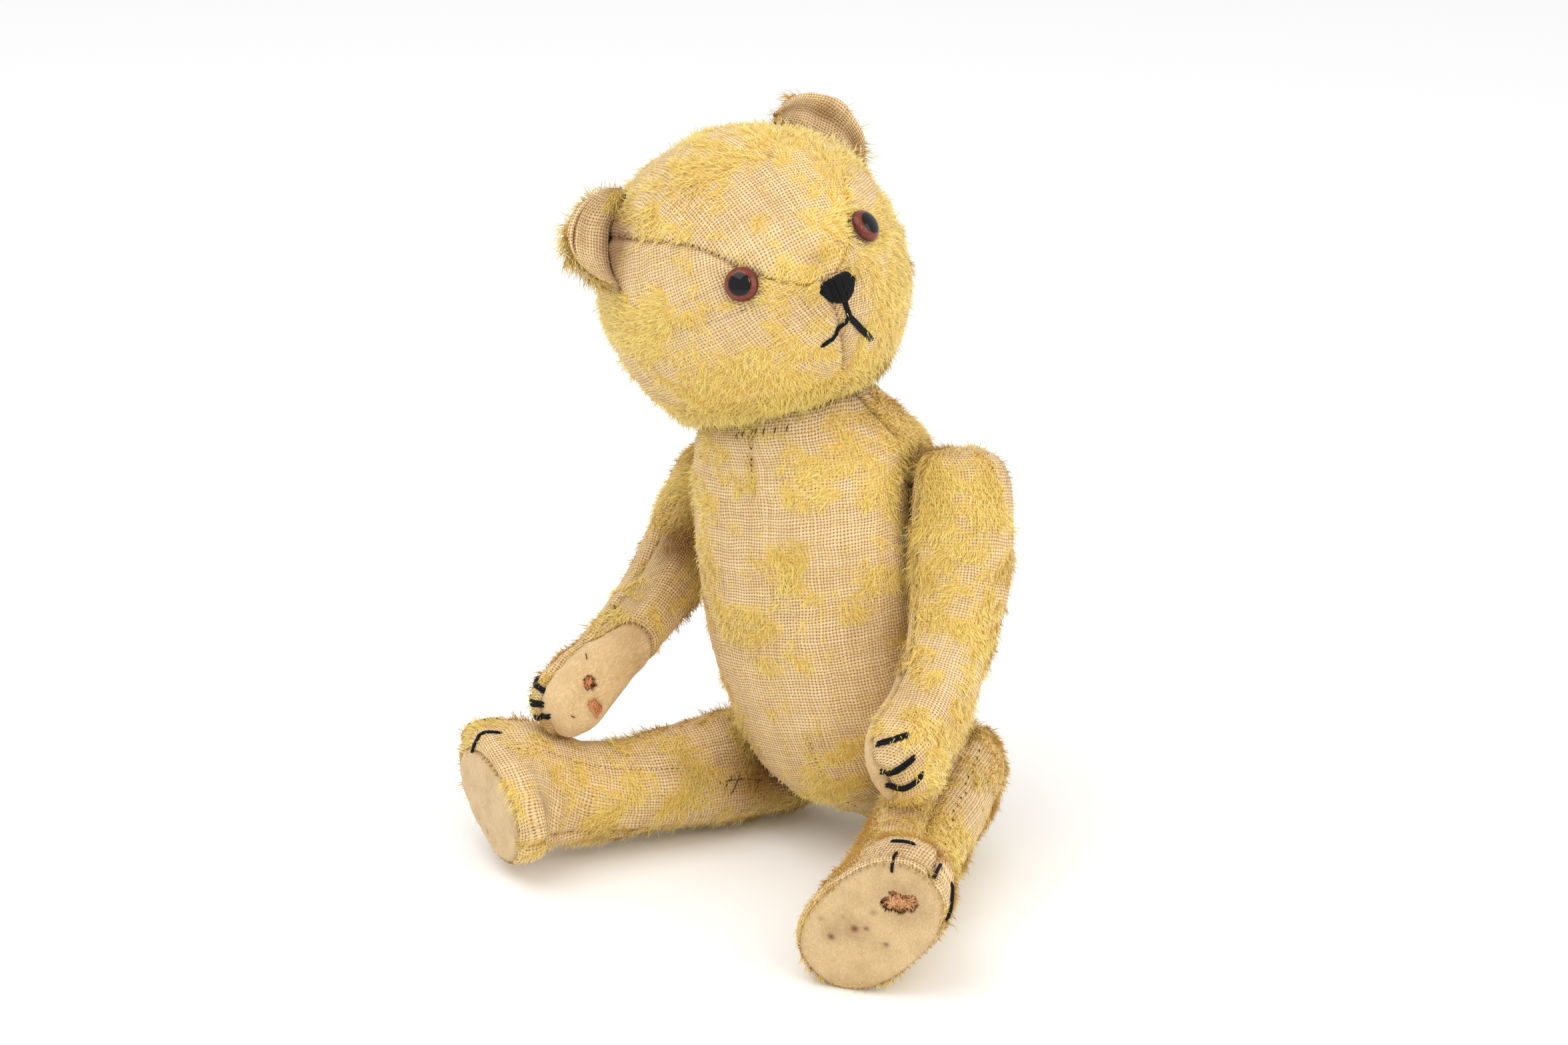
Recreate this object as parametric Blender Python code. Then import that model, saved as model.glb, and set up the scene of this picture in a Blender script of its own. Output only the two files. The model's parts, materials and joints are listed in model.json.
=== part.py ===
"""Old jointed bear, seated: cloth covers over wood wool, disc joints at neck, shoulders and hips.

The bear faces -Y, its left is +X, and it sits on Z = 0, the flat of its rump at the origin. Sizes
are in millimetres until they reach Blender. Each stuffed form is a closed grid of rings, and its sewn panels, its felt and its
filling are all taken from that one grid at their own depths under the surface.
"""
import math

import bmesh
import bpy
from mathutils import Matrix, Vector

MM = 0.001

# cloth, felt and the clearances between pieces
CLOTH = 1.0
GAP = 0.3
SEAM_HALF_GAP = 0.24
JOINT_HALF_GAP = 0.2
FILL_DEPTH = CLOTH + GAP

# how the torso leans on its seat: degrees to its right, and backwards
LEAN_SIDE = 10.8
LEAN_BACK = 1.7
# the flat of the rump that it sits on, which is the model's origin, seen from the torso's own
SEAT_AT = (4.7, 25.5, 0.0)

# torso rings, bottom to top: height, half width, half depth, centre towards the back, and to its left
TORSO_RINGS = [
    (-3.0, 2.4, 1.2, 21.5, 4.4), (-2.0, 2.9, 8.0, 21.5, 4.4), (3.0, 7.5, 11.0, 20.0, 4.2),
    (10.0, 15.0, 17.0, 15.0, 4.0), (20.0, 23.5, 25.5, 8.5, 4.0), (33.0, 31.5, 31.5, 5.5, 4.0),
    (48.0, 35.5, 35.0, 4.5, 3.0), (75.0, 38.5, 37.0, 5.0, 1.5), (102.0, 41.5, 37.0, 6.5, 2.5),
    (117.0, 42.5, 35.5, 7.0, 3.0), (130.0, 40.0, 32.5, 6.5, 2.6), (143.0, 31.5, 28.5, 6.0, -1.2),
    (151.0, 24.0, 23.0, 6.0, -2.0), (153.0, 12.0, 12.0, 6.0, -2.0), (153.5, 8.0, 0.6, 6.0, -2.0),
]
TORSO_SQUARENESS = 2.2
TORSO_COLUMNS = 24

# joints in the torso's frame: name, centre, the way the disc faces, disc radius
NECK = ("neck", (-2.5, 6.0, 147.5), (-0.14, 0.0, 0.990), 16.5)
LEFT_SHOULDER = ("left_shoulder", (41.0, 12.5, 113.0), (0.996, 0.08, 0.0), 8.7)
RIGHT_SHOULDER = ("right_shoulder", (-34.6, 13.5, 112.5), (-0.985, 0.170, 0.0), 8.7)
LEFT_HIP = ("left_hip", (27.5, 8.5, 25.7), (0.822, 0.10, -0.563), 9.0)
RIGHT_HIP = ("right_hip", (-16.2, 1.5, 29.6), (-0.903, 0.195, -0.388), 9.0)

# which way each limb's upper end runs from its joint at rest, in the world
LEFT_ARM_ALONG = (0.10, -0.31, -0.94)
RIGHT_ARM_ALONG = (0.00, -0.76, -0.65)
LEFT_LEG_ALONG = (0.380, -0.915, -0.116)
RIGHT_LEG_ALONG = (-0.520, -0.852, -0.050)

# each side of a joint, outwards from the joint plane: cloth, disc, washer, then the pin's ends
DISC_THICK = 2.0
WASHER_THICK = 0.8
WASHER_RADIUS = 4.5
PIN_WIRE = 0.65
PIN_LEG_OFFSET = 0.85
PIN_CURL = 2.0
PIN_EYE = 2.1
PIN_HOLE = 2.0
PIN_ROOM = 6.2
DISC_FACE = JOINT_HALF_GAP + FILL_DEPTH
WASHER_FACE = DISC_FACE + DISC_THICK + GAP
PIN_FACE = WASHER_FACE + WASHER_THICK + GAP
POCKET_DEPTH = PIN_FACE + 2 * PIN_EYE + 2 * PIN_WIRE + 1.5

# head: half sizes, its centre above the neck plane, and how it sits on the joint, in degrees
HEAD_WIDTH, HEAD_DEPTH, HEAD_HEIGHT = 49.0, 48.0, 49.0
HEAD_ABOVE_NECK = 39.5
HEAD_ASIDE = (-2.5, 0.0)
HEAD_TURN = 60.5
HEAD_LOOK_UP = 5.0
HEAD_ROLL = -9.0
MUZZLE_LENGTH, MUZZLE_SPREAD, MUZZLE_DROP = 8.5, 30.0, 15.0
HEAD_FILL_DEPTH = 3.7
HEAD_COLUMNS = 22
HEAD_ROWS = 5
SEAM_ROUNDS, UNDER_ROUNDS = 17, 9
# gusset between the head's sides: degrees round from the nose over the crown, and its half width
GUSSET = [(-4.0, 9.0), (20.0, 15.0), (45.0, 27.0), (70.0, 36.0), (100.0, 37.0), (140.0, 28.0), (185.0, 18.0),
          (228.0, 11.0)]
GUSSET_ROWS = 5
EYE_RADIUS = 5.4
EYE_SIDE, EYE_ROUND = 25.0, 2.5
# each ear's place in degrees to the side and round from the nose, how far it faces left, depth of its cup
LEFT_EAR, RIGHT_EAR = (49.0, 82.0, 0.25, 5.0), (53.0, 84.0, 0.45, 8.0)
EAR_HALF_WIDTH, EAR_HEIGHT, EAR_THICK = 18.0, 13.5, 2.4

# arm rings from its joint: distance along, half height, half thickness
ARM_RINGS = [
    (-16.4, 4.6, 0.6), (-15.8, 8.4, 7.0), (-13.6, 11.6, 12.0), (-9.0, 14.0, 14.8), (0.0, 15.2, 16.2),
    (16.0, 14.4, 15.4), (32.0, 12.6, 13.7), (46.0, 11.2, 12.2), (58.0, 10.8, 11.2), (70.0, 11.0, 10.6),
    (80.0, 12.0, 10.8), (89.0, 12.6, 10.8), (96.5, 11.0, 9.0), (101.2, 7.6, 6.0), (103.0, 4.5, 0.9),
]
ARM_PAD_RING = 9
ARM_OUT = 12.1
ARM_BEND_FROM, ARM_BEND_TO = 18.0, 80.0
# how far each arm bends forwards, in degrees, and how full its lower part is
LEFT_ARM_BEND, LEFT_ARM_FULL = 47.0, 1.16
RIGHT_ARM_BEND, RIGHT_ARM_FULL = 16.0, 0.98
# leg rings from its joint: distance along, half height, half thickness, rise of the centre
LEG_RINGS = [
    (-18.8, 8.0, 0.6, 0.0), (-17.8, 12.0, 9.4, 0.0), (-11.5, 16.6, 15.2, 0.0), (0.0, 18.6, 17.2, 0.0),
    (18.0, 18.2, 17.0, 0.0), (38.0, 16.6, 16.4, 0.0), (56.0, 15.4, 15.4, 0.0), (70.0, 16.4, 15.2, 1.5),
    (82.0, 21.0, 15.8, 5.0), (92.0, 26.4, 17.2, 7.4), (98.0, 27.2, 17.6, 7.0), (101.0, 26.4, 17.0, 7.0),
]
LEG_OUT = 12.2
LEFT_LEG_SPLAY, RIGHT_LEG_SPLAY = 14.5, 12.5
LEFT_FOOT_TWIST, RIGHT_FOOT_TWIST = 20.0, 37.0
SOLE_THICK = 1.6
LIMB_SQUARENESS = 2.35
LIMB_COLUMNS = 16


def clear_scene():
    for item in list(bpy.data.objects):
        bpy.data.objects.remove(item, do_unlink=True)


def material(name, color, roughness, metallic=0.0):
    made = bpy.data.materials.new(name)
    made.use_nodes = True
    shader = made.node_tree.nodes["Principled BSDF"]
    shader.inputs["Base Color"].default_value = (*color, 1.0)
    shader.inputs["Roughness"].default_value = roughness
    shader.inputs["Metallic"].default_value = metallic
    return made


def link(name, data, finish, parent):
    made = bpy.data.objects.new(name, data)
    bpy.context.collection.objects.link(made)
    if finish is not None:
        data.materials.append(finish)
    made.parent = parent
    return made


def frame(name, parent, matrix):
    """An empty that pieces hang from, its matrix in its parent's millimetres."""
    made = bpy.data.objects.new(name, None)
    bpy.context.collection.objects.link(made)
    made.parent = parent
    made.matrix_local = Matrix.Translation(matrix.translation * MM) @ matrix.to_3x3().to_4x4()
    return made


def solid(name, points, faces, finish, parent):
    """A closed mesh with doubled points joined and its faces turned outwards."""
    data = bpy.data.meshes.new(name)
    data.from_pydata([Vector(p) * MM for p in points], [], faces)
    bm = bmesh.new()
    bm.from_mesh(data)
    bmesh.ops.remove_doubles(bm, verts=bm.verts, dist=0.01 * MM)
    bmesh.ops.recalc_face_normals(bm, faces=bm.faces)
    if bm.calc_volume(signed=True) < 0:
        bmesh.ops.reverse_faces(bm, faces=bm.faces)
    bm.to_mesh(data)
    bm.free()
    data.shade_smooth()
    data.set_sharp_from_angle(angle=math.radians(40))
    return link(name, data, finish, parent)


def spread(low, high, count):
    return [low + (high - low) * i / (count - 1) for i in range(count)]


def curve_through(table, x):
    """Straight-line reading of a table of (x, y) pairs."""
    for (x0, y0), (x1, y1) in zip(table, table[1:]):
        if x <= x1:
            return y0 + (y1 - y0) * (x - x0) / (x1 - x0)
    return table[-1][1]


# ---------------------------------------------------------------- grids of rings

def two_triangles(a, b, c, d, flip=False):
    """A four-sided patch, always split from a to c, so that sheets at different depths stay nested."""
    return [(c, b, a), (d, c, a)] if flip else [(a, b, c), (a, c, d)]


def grid_faces(rows, columns, wrap, start=0, flip=False):
    faces = []
    for r in range(rows - 1):
        for c in range(wrap):
            d = (c + 1) % columns
            faces += two_triangles(start + r * columns + c, start + r * columns + d,
                                   start + (r + 1) * columns + d, start + (r + 1) * columns + c, flip)
    return faces


def superellipse(angle, half_a, half_b, squareness):
    c, s = math.cos(angle), math.sin(angle)
    power = 2.0 / squareness
    return half_a * math.copysign(abs(c) ** power, c), half_b * math.copysign(abs(s) ** power, s)


def grid_normals(grid):
    """Outward directions of a closed grid, from its neighbours along the rings and across them."""
    rows, columns = len(grid), len(grid[0])
    middle = sum((p for ring in grid for p in ring), Vector()) / (rows * columns)
    normals = []
    for r in range(rows):
        below, above = grid[max(r - 1, 0)], grid[min(r + 1, rows - 1)]
        ring = []
        for c in range(columns):
            across = grid[r][(c + 1) % columns] - grid[r][c - 1]
            ring.append((above[c] - below[c]).cross(across))
        for c in range(columns):
            if ring[c].length < 1e-3:
                ring[c] = ring[c - 1] + ring[(c + 1) % columns]
        normals.append([n.normalized() for n in ring])
    facing = sum((grid[r][c] - middle).dot(normals[r][c]) for r in range(rows) for c in range(columns))
    sign = 1.0 if facing > 0 else -1.0
    return [[n * sign for n in ring] for ring in normals]


def sunk(grid, depth, planes):
    """The same grid at a depth under its surface, pressed flat behind each (point, normal) plane."""
    result = []
    for ring, directions in zip(grid, grid_normals(grid)):
        moved = []
        for point, normal in zip(ring, directions):
            place = point - normal * depth
            for origin, outwards in planes * 3:
                over = (place - origin).dot(outwards) + depth
                if over > 0:
                    place = place - outwards * over
            moved.append(place)
        result.append(moved)
    return result


def next_to(row, following, distance):
    """A ring a short way from one towards the next."""
    return [a.lerp(b, distance / max((b - a).length, distance)) for a, b in zip(row, following)]


def half(sheet, side):
    """One half of a sheet of closed rings, its two edges held back from the seam columns."""
    columns = len(sheet[0])
    picked = range(0, columns // 2 + 1) if side > 0 else range(columns // 2, columns + 1)
    rows = [[ring[c % columns].copy() for c in picked] for ring in sheet]
    for row in rows:
        for end, inside in ((0, 1), (-1, -2)):
            row[end] = next_to([row[end]], [row[inside]], SEAM_HALF_GAP)[0]
    return rows


def shell(name, outer, inner, finish, parent, cyclic=False):
    """A sheet with thickness between two grids of the same size."""
    rows, columns = len(outer), len(outer[0])
    count = rows * columns
    wrap = columns if cyclic else columns - 1
    points = [p for ring in outer for p in ring] + [p for ring in inner for p in ring]
    faces = grid_faces(rows, columns, wrap) + grid_faces(rows, columns, wrap, count, True)
    border = [(r * columns + c, r * columns + (c + 1) % columns) for r in (0, rows - 1) for c in range(wrap)]
    if not cyclic:
        border += [(r * columns + c, (r + 1) * columns + c) for c in (0, columns - 1) for r in range(rows - 1)]
    for a, b in border:
        if max((points[a] - points[b]).length, (points[count + a] - points[count + b]).length) > 0.01:
            faces.append((a, b, count + b, count + a))
    return solid(name, points, faces, finish, parent)


def filled(name, grid, finish, parent, hubs=None):
    """A solid of closed rings, capped at both ends by fans from its hubs."""
    columns = len(grid[0])
    points = [p for ring in grid for p in ring]
    last = len(points) - columns
    points += hubs or [sum(grid[0], Vector()) / columns, sum(grid[-1], Vector()) / columns]
    faces = grid_faces(len(grid), columns, columns)
    for c in range(columns):
        d = (c + 1) % columns
        faces += [(d, c, last + columns), (last + c, last + d, last + columns + 1)]
    return solid(name, points, faces, finish, parent)


def turned(name, profile, finish, parent, sides=12):
    """A piece turned about its own Z from (radius, height) points; without a radius of zero it is a ring."""
    count = len(profile)
    points = [(r * math.cos(2 * math.pi * i / sides), r * math.sin(2 * math.pi * i / sides), h)
              for i in range(sides) for r, h in profile]
    ring = profile[0][0] > 0
    faces = []
    for i in range(sides):
        j = (i + 1) % sides
        for k in range(count if ring else count - 1):
            m = (k + 1) % count
            faces.append((i * count + k, j * count + k, j * count + m, i * count + m))
    return solid(name, points, faces, finish, parent)


def wire(name, points, radius, finish, parent):
    data = bpy.data.curves.new(name, "CURVE")
    data.dimensions = "3D"
    data.bevel_depth = radius * MM
    data.bevel_resolution = 0
    data.use_fill_caps = True
    spline = data.splines.new("POLY")
    spline.points.add(len(points) - 1)
    for place, point in zip(spline.points, points):
        place.co = (*(Vector(point) * MM), 1.0)
    return link(name, data, finish, parent)


def arc(centre_x, centre_z, radius, start, end, count):
    """Points of an arc in the XZ plane, angles in degrees from +X towards +Z."""
    return [Vector((centre_x + radius * math.cos(math.radians(a)), 0.0, centre_z + radius * math.sin(math.radians(a))))
            for a in spread(start, end, count)]


def cutter(name, profile, parent, sides=12):
    made = turned(name, profile, None, parent, sides)
    made.display_type = "WIRE"
    made.hide_render = True
    return made


def cut(obj, tool):
    boolean = obj.modifiers.new(tool.name, "BOOLEAN")
    boolean.operation = "DIFFERENCE"
    boolean.solver = "EXACT"
    boolean.object = tool


# ---------------------------------------------------------------- joints

def joint_matrix(origin, normal, along):
    """Z looks out of the torso, and Y runs back up the limb, against the way it points."""
    z = Vector(normal).normalized()
    back = -Vector(along)
    y = (back - z * back.dot(z)).normalized()
    return Matrix.Translation(Vector(origin)) @ Matrix((y.cross(z), y, z)).transposed().to_4x4()


def disc_joint(spec, torso, along, finish):
    """One joint's discs, washers and cotter pin, with the cutters for the pin and for the fillings."""
    name, origin, normal, radius = spec
    matrix = joint_matrix(origin, normal, along)
    place = frame(name + "_frame", torso, matrix)
    tools = {}
    for side, word in ((-1, "body"), (1, "limb")):
        low, high = DISC_FACE * side, (DISC_FACE + DISC_THICK) * side
        turned(f"{name}_{word}_disc", [(PIN_HOLE, low), (radius, low), (radius, high), (PIN_HOLE, high)],
               finish["board"], place)
        low, high = WASHER_FACE * side, (WASHER_FACE + WASHER_THICK) * side
        turned(f"{name}_{word}_washer", [(PIN_HOLE, low), (WASHER_RADIUS, low), (WASHER_RADIUS, high),
               (PIN_HOLE, high)], finish["steel"], place, 8)
        step = (DISC_FACE + DISC_THICK + 0.15) * side
        tools[word] = cutter(f"{name}_{word}_pocket", [(0, -4 * side), (radius + GAP, -4 * side),
                             (radius + GAP, step), (PIN_ROOM, step),
                             (PIN_ROOM, POCKET_DEPTH * side), (0, POCKET_DEPTH * side)], place)
    tools["hole"] = cutter(f"{name}_pin_hole", [(0, -9), (PIN_HOLE, -9), (PIN_HOLE, 9), (0, 9)], place, 8)
    seat = PIN_FACE + PIN_WIRE
    foot = arc(-PIN_LEG_OFFSET - PIN_CURL, -seat, PIN_CURL, 200, 360, 4)
    foot = [Vector((p.x, 0.0, min(p.z, -seat) if i < 3 else p.z)) for i, p in enumerate(foot)]
    eye = arc(0.0, seat + PIN_EYE + 0.4, PIN_EYE, 246, -66, 8)
    other_foot = [Vector((-p.x, 0.0, p.z)) for p in reversed(foot)]
    wire(name + "_pin", foot + eye + other_foot, PIN_WIRE, finish["steel"], place)
    return place, matrix, tools


def plane_in(matrix, origin, normal):
    """A plane given in a parent frame, as seen in the child frame that the matrix places."""
    inverse = matrix.inverted()
    return inverse @ Vector(origin), (inverse.to_3x3() @ Vector(normal)).normalized()


# ---------------------------------------------------------------- torso

def torso_grid():
    grid = []
    for height, half_width, half_depth, back, left in TORSO_RINGS:
        ring = []
        for c in range(TORSO_COLUMNS):
            x, y = superellipse(2 * math.pi * c / TORSO_COLUMNS, half_width, half_depth, TORSO_SQUARENESS)
            ring.append(Vector((x + left, y + back, height)))
        grid.append(ring)
    return grid


def build_torso(torso, floor, joints, tools, finish):
    planes = [floor] + [(Vector(o) - Vector(n).normalized() * JOINT_HALF_GAP, Vector(n).normalized())
                        for _, o, n, _ in joints]
    grid = torso_grid()
    outer, inner, fill = (sunk(grid, depth, planes) for depth in (0.0, CLOTH, FILL_DEPTH + GAP))
    for name, side in (("body_back_panel", 1), ("body_front_panel", -1)):
        panel = shell(name, half(outer, side), half(inner, side), finish["mohair"], torso)
        for tool in tools:
            cut(panel, tool["hole"])
    body = filled("body_stuffing", fill[1:-1], finish["wood_wool"], torso)
    for tool in tools:
        cut(body, tool["body"])


# ---------------------------------------------------------------- arms and legs

def limb_rings(sections, rises, bend, full):
    """Ring centres (along, rise, slope) and half sizes of a limb that bends forwards past its upper part."""
    along = rise = 0.0
    centres = {}
    lengths = [section[0] for section in sections]
    for i, length in enumerate(lengths):
        if length <= 0:
            centres[i] = (length, 0.0, 0.0)
            continue
        step = length - lengths[i - 1]
        middle = bend_at(length - step / 2, bend)
        along += step * math.cos(middle)
        rise += step * math.sin(middle)
        centres[i] = (along, rise, bend_at(length, bend))
    rings = []
    for i, (length, half_height, half_thick) in enumerate(sections):
        grow = 1.0 + (full - 1.0) * max(0.0, min(1.0, length / 40.0))
        before, after = max(i - 1, 0), min(i + 1, len(sections) - 1)
        tilt = math.atan2(rises[after] - rises[before], lengths[after] - lengths[before])
        rings.append((centres[i][0], centres[i][1] + rises[i], centres[i][2] + tilt, half_height * grow,
                      half_thick * grow))
    return rings


def bend_at(length, bend):
    part = (length - ARM_BEND_FROM) / (ARM_BEND_TO - ARM_BEND_FROM)
    return math.radians(bend) * max(0.0, min(1.0, part))


def limb_grid(rings, forward, twist=0.0):
    """Rings across a limb that runs down -Y, curves towards forward * X and lies out along Z."""
    grid = []
    for along, rise, slope, half_height, half_thick in rings:
        turn = math.radians(twist) * max(0.0, min(1.0, (along - 40.0) / 50.0))
        ring = []
        for c in range(LIMB_COLUMNS):
            up, across = superellipse(2 * math.pi * c / LIMB_COLUMNS, half_height, half_thick, LIMB_SQUARENESS)
            up, across = up * math.cos(turn) - across * math.sin(turn), up * math.sin(turn) + across * math.cos(turn)
            ring.append(Vector((forward * (rise + up * math.cos(slope)), -along + up * math.sin(slope), across)))
        grid.append(ring)
    return grid


def limb_sheets(rings, place, matrix, out, splay, forward, twist, lean):
    """The limb's own frame beside its joint, and its cloth's two faces and its filling."""
    own = Matrix.Translation(Vector((0, 0, out))) @ Matrix.Rotation(math.radians(-splay), 4, "X")
    planes = [plane_in(own, (0, 0, JOINT_HALF_GAP), (0, 0, -1)), plane_in(lean @ matrix @ own, (0, 0, 0), (0, 0, -1))]
    grid = limb_grid(rings, forward, twist)
    return [frame(place.name.replace("frame", "limb"), place, own)] + [sunk(grid, depth, planes)
                                                                      for depth in (0.0, CLOTH, FILL_DEPTH)]


def build_arm(word, place, matrix, tools, forward, lean, finish):
    bend, full = (LEFT_ARM_BEND, LEFT_ARM_FULL) if word == "left" else (RIGHT_ARM_BEND, RIGHT_ARM_FULL)
    rings = limb_rings(ARM_RINGS, [0.0] * len(ARM_RINGS), bend, full)
    own, outer, inner, fill = limb_sheets(rings, place, matrix, ARM_OUT, 0.0, forward, 0.0, lean)
    shell(f"{word}_arm_outer_panel", half(outer, 1), half(inner, 1), finish["mohair"], own)
    near_outer, near_inner = half(outer, -1), half(inner, -1)
    k = ARM_PAD_RING
    panel = shell(f"{word}_arm_inner_panel", near_outer[:k + 1], near_inner[:k + 1], finish["mohair"], own)
    cut(panel, tools["hole"])
    pad_outer = [next_to(near_outer[k], near_outer[k + 1], GAP * 1.3)] + near_outer[k + 1:]
    pad_inner = [next_to(near_inner[k], near_inner[k + 1], GAP * 1.3)] + near_inner[k + 1:]
    shell(f"{word}_paw_pad", pad_outer, pad_inner, finish["felt"], own)
    cut(filled(f"{word}_arm_stuffing", fill[1:-1], finish["wood_wool"], own), tools["limb"])


def build_leg(word, place, matrix, tools, forward, lean, finish):
    rings = limb_rings([ring[:3] for ring in LEG_RINGS], [ring[3] for ring in LEG_RINGS], 0.0, 1.0)
    twist, splay = ((LEFT_FOOT_TWIST, LEFT_LEG_SPLAY) if word == "left" else (RIGHT_FOOT_TWIST, RIGHT_LEG_SPLAY))
    own, outer, inner, fill = limb_sheets(rings, place, matrix, LEG_OUT, splay, forward, twist, lean)
    last = LEG_RINGS[-1][0]
    for sheet, end in ((outer, last), (inner, last), (fill, last - GAP)):
        for point in sheet[-1]:
            point.y = -end
    for name, side in (("outer", 1), ("inner", -1)):
        panel = shell(f"{word}_leg_{name}_panel", half(outer, side), half(inner, side), finish["mohair"], own)
        if side < 0:
            cut(panel, tools["hole"])
    middle = sum(outer[-1], Vector()) / LIMB_COLUMNS
    rings = []
    for back, width in ((GAP, 1.0), (GAP + SOLE_THICK, 0.98)):
        rings.append([middle.lerp(p, width) + Vector((0, -back, 0)) for p in outer[-1]])
    hubs = [middle + Vector((0, -GAP, 0)), middle + Vector((0, -GAP - SOLE_THICK - 0.6, 0))]
    filled(f"{word}_foot_sole", rings, finish["felt"], own, hubs)
    cut(filled(f"{word}_leg_stuffing", fill[1:], finish["wood_wool"], own), tools["limb"])


# ---------------------------------------------------------------- head

def head_direction(round_deg, side_deg):
    """Round goes from the nose over the crown to the nape; side goes out towards the left ear."""
    a, b = math.radians(round_deg), math.radians(side_deg)
    return Vector((math.sin(b), -math.cos(b) * math.cos(a), math.cos(b) * math.sin(a)))


MUZZLE_WAY = head_direction(-MUZZLE_DROP, 0.0)


def head_point(direction):
    """The head's surface: a slightly squared ball with a blunt muzzle."""
    d = direction.normalized()
    power = 2.15
    size = ((abs(d.x) / HEAD_WIDTH) ** power + (abs(d.y) / HEAD_DEPTH) ** power
            + (abs(d.z) / HEAD_HEIGHT) ** power) ** (-1 / power)
    away = math.degrees(d.angle(MUZZLE_WAY)) / MUZZLE_SPREAD
    return d * (size + MUZZLE_LENGTH * math.exp(-away * away))


def head_normal(direction):
    d = direction.normalized()
    side = d.cross(Vector((0.3, 0.2, 1.0))).normalized()
    other = d.cross(side)
    step = 0.02
    a = head_point(d + side * step) - head_point(d - side * step)
    b = head_point(d + other * step) - head_point(d - other * step)
    n = a.cross(b).normalized()
    return n if n.dot(d) > 0 else -n


def head_place(direction, depth, neck):
    """A point at a depth under the head's surface, flat behind the neck plane."""
    place = head_point(direction) - head_normal(direction) * depth
    origin, outwards = neck
    over = (place - origin).dot(outwards) + depth
    return place - outwards * over if over > 0 else place


def gusset_half(round_deg):
    low, high = GUSSET[0][0], GUSSET[-1][0]
    return curve_through(GUSSET, round_deg) if low <= round_deg <= high else 0.0


def build_head(place, neck, tools, finish):
    first, last = GUSSET[0][0], GUSSET[-1][0]
    # gusset: from the nose over the crown to the nape
    rounds = spread(first, last, SEAM_ROUNDS)
    sheets = []
    for depth in (0.0, CLOTH):
        sheets.append([[head_place(head_direction(r, side * (gusset_half(r) - 0.2)), depth, neck)
                        for side in spread(-1, 1, GUSSET_ROWS)] for r in rounds])
    shell("head_gusset", sheets[0], sheets[1], finish["mohair"], place)
    # sides: each a sheet that runs in from its seam to the middle of the cheek
    step = 0.45
    seam = [(r, gusset_half(r) + 0.2) for r in spread(first, last, SEAM_ROUNDS)]
    seam = [(first - step, seam[0][1])] + seam + [(last + step, seam[-1][1])]
    under = spread(last + step, first - step + 360, UNDER_ROUNDS)
    seam += [(r % 360 if r > 360 else r, 0.2) for r in under]
    for word, way in (("left", 1), ("right", -1)):
        sheets = []
        for depth in (0.0, CLOTH):
            rows = []
            for f in spread(0, 1, HEAD_ROWS):
                rows.append([head_place(head_direction(r, way * (g + f * (90 - g))), depth, neck) for r, g in seam])
            sheets.append(rows)
        panel = shell(f"head_{word}_side", sheets[0], sheets[1], finish["mohair"], place, cyclic=True)
        cut(panel, tools["hole"])
        cut(panel, tools[f"{word}_eye"])
    grid = [[head_place(head_direction(r, side), HEAD_FILL_DEPTH, neck) for r in spread(0, 360, HEAD_COLUMNS + 1)[:-1]]
            for side in spread(-88, 88, 11)]
    ball = filled("head_stuffing", grid, finish["wood_wool"], place)
    for key in ("limb", "left_eye", "right_eye"):
        cut(ball, tools[key])


def surface_matrix(direction):
    """A frame on the head's surface, its Z straight out and its X to the bear's left."""
    z = head_normal(direction)
    x = Vector((1, 0, 0)) - z * z.x
    x.normalize()
    y = z.cross(x)
    return Matrix.Translation(head_point(direction)) @ Matrix((x, y, z)).transposed().to_4x4()


def build_eye(word, way, place, finish):
    """A glass ball with a flat back, and the wire loop behind it that ties it into the head."""
    spot = frame(f"{word}_eye_frame", place, surface_matrix(head_direction(EYE_ROUND, way * EYE_SIDE)))
    centre = 2.9
    back = -math.degrees(math.asin((centre - 0.45) / EYE_RADIUS))
    profile = [(0.0, 0.45)] + [(EYE_RADIUS * math.cos(math.radians(a)), centre + EYE_RADIUS * math.sin(math.radians(a)))
                               for a in spread(back, 72, 6)] + [(0.0, centre + EYE_RADIUS)]
    turned(f"{word}_eye", profile, finish["glass"], spot, 14)
    loop = arc(0.0, -6.0, 1.4, 60, -240, 9)
    wire(f"{word}_eye_shank", [Vector((0.55, 0, 0.1))] + loop + [Vector((-0.55, 0, 0.1))], 0.35, finish["steel"], spot)
    return cutter(f"{word}_eye_hole", [(0, -9.0), (2.3, -9.0), (2.3, 3.0), (0, 3.0)], spot, 12)


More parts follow.
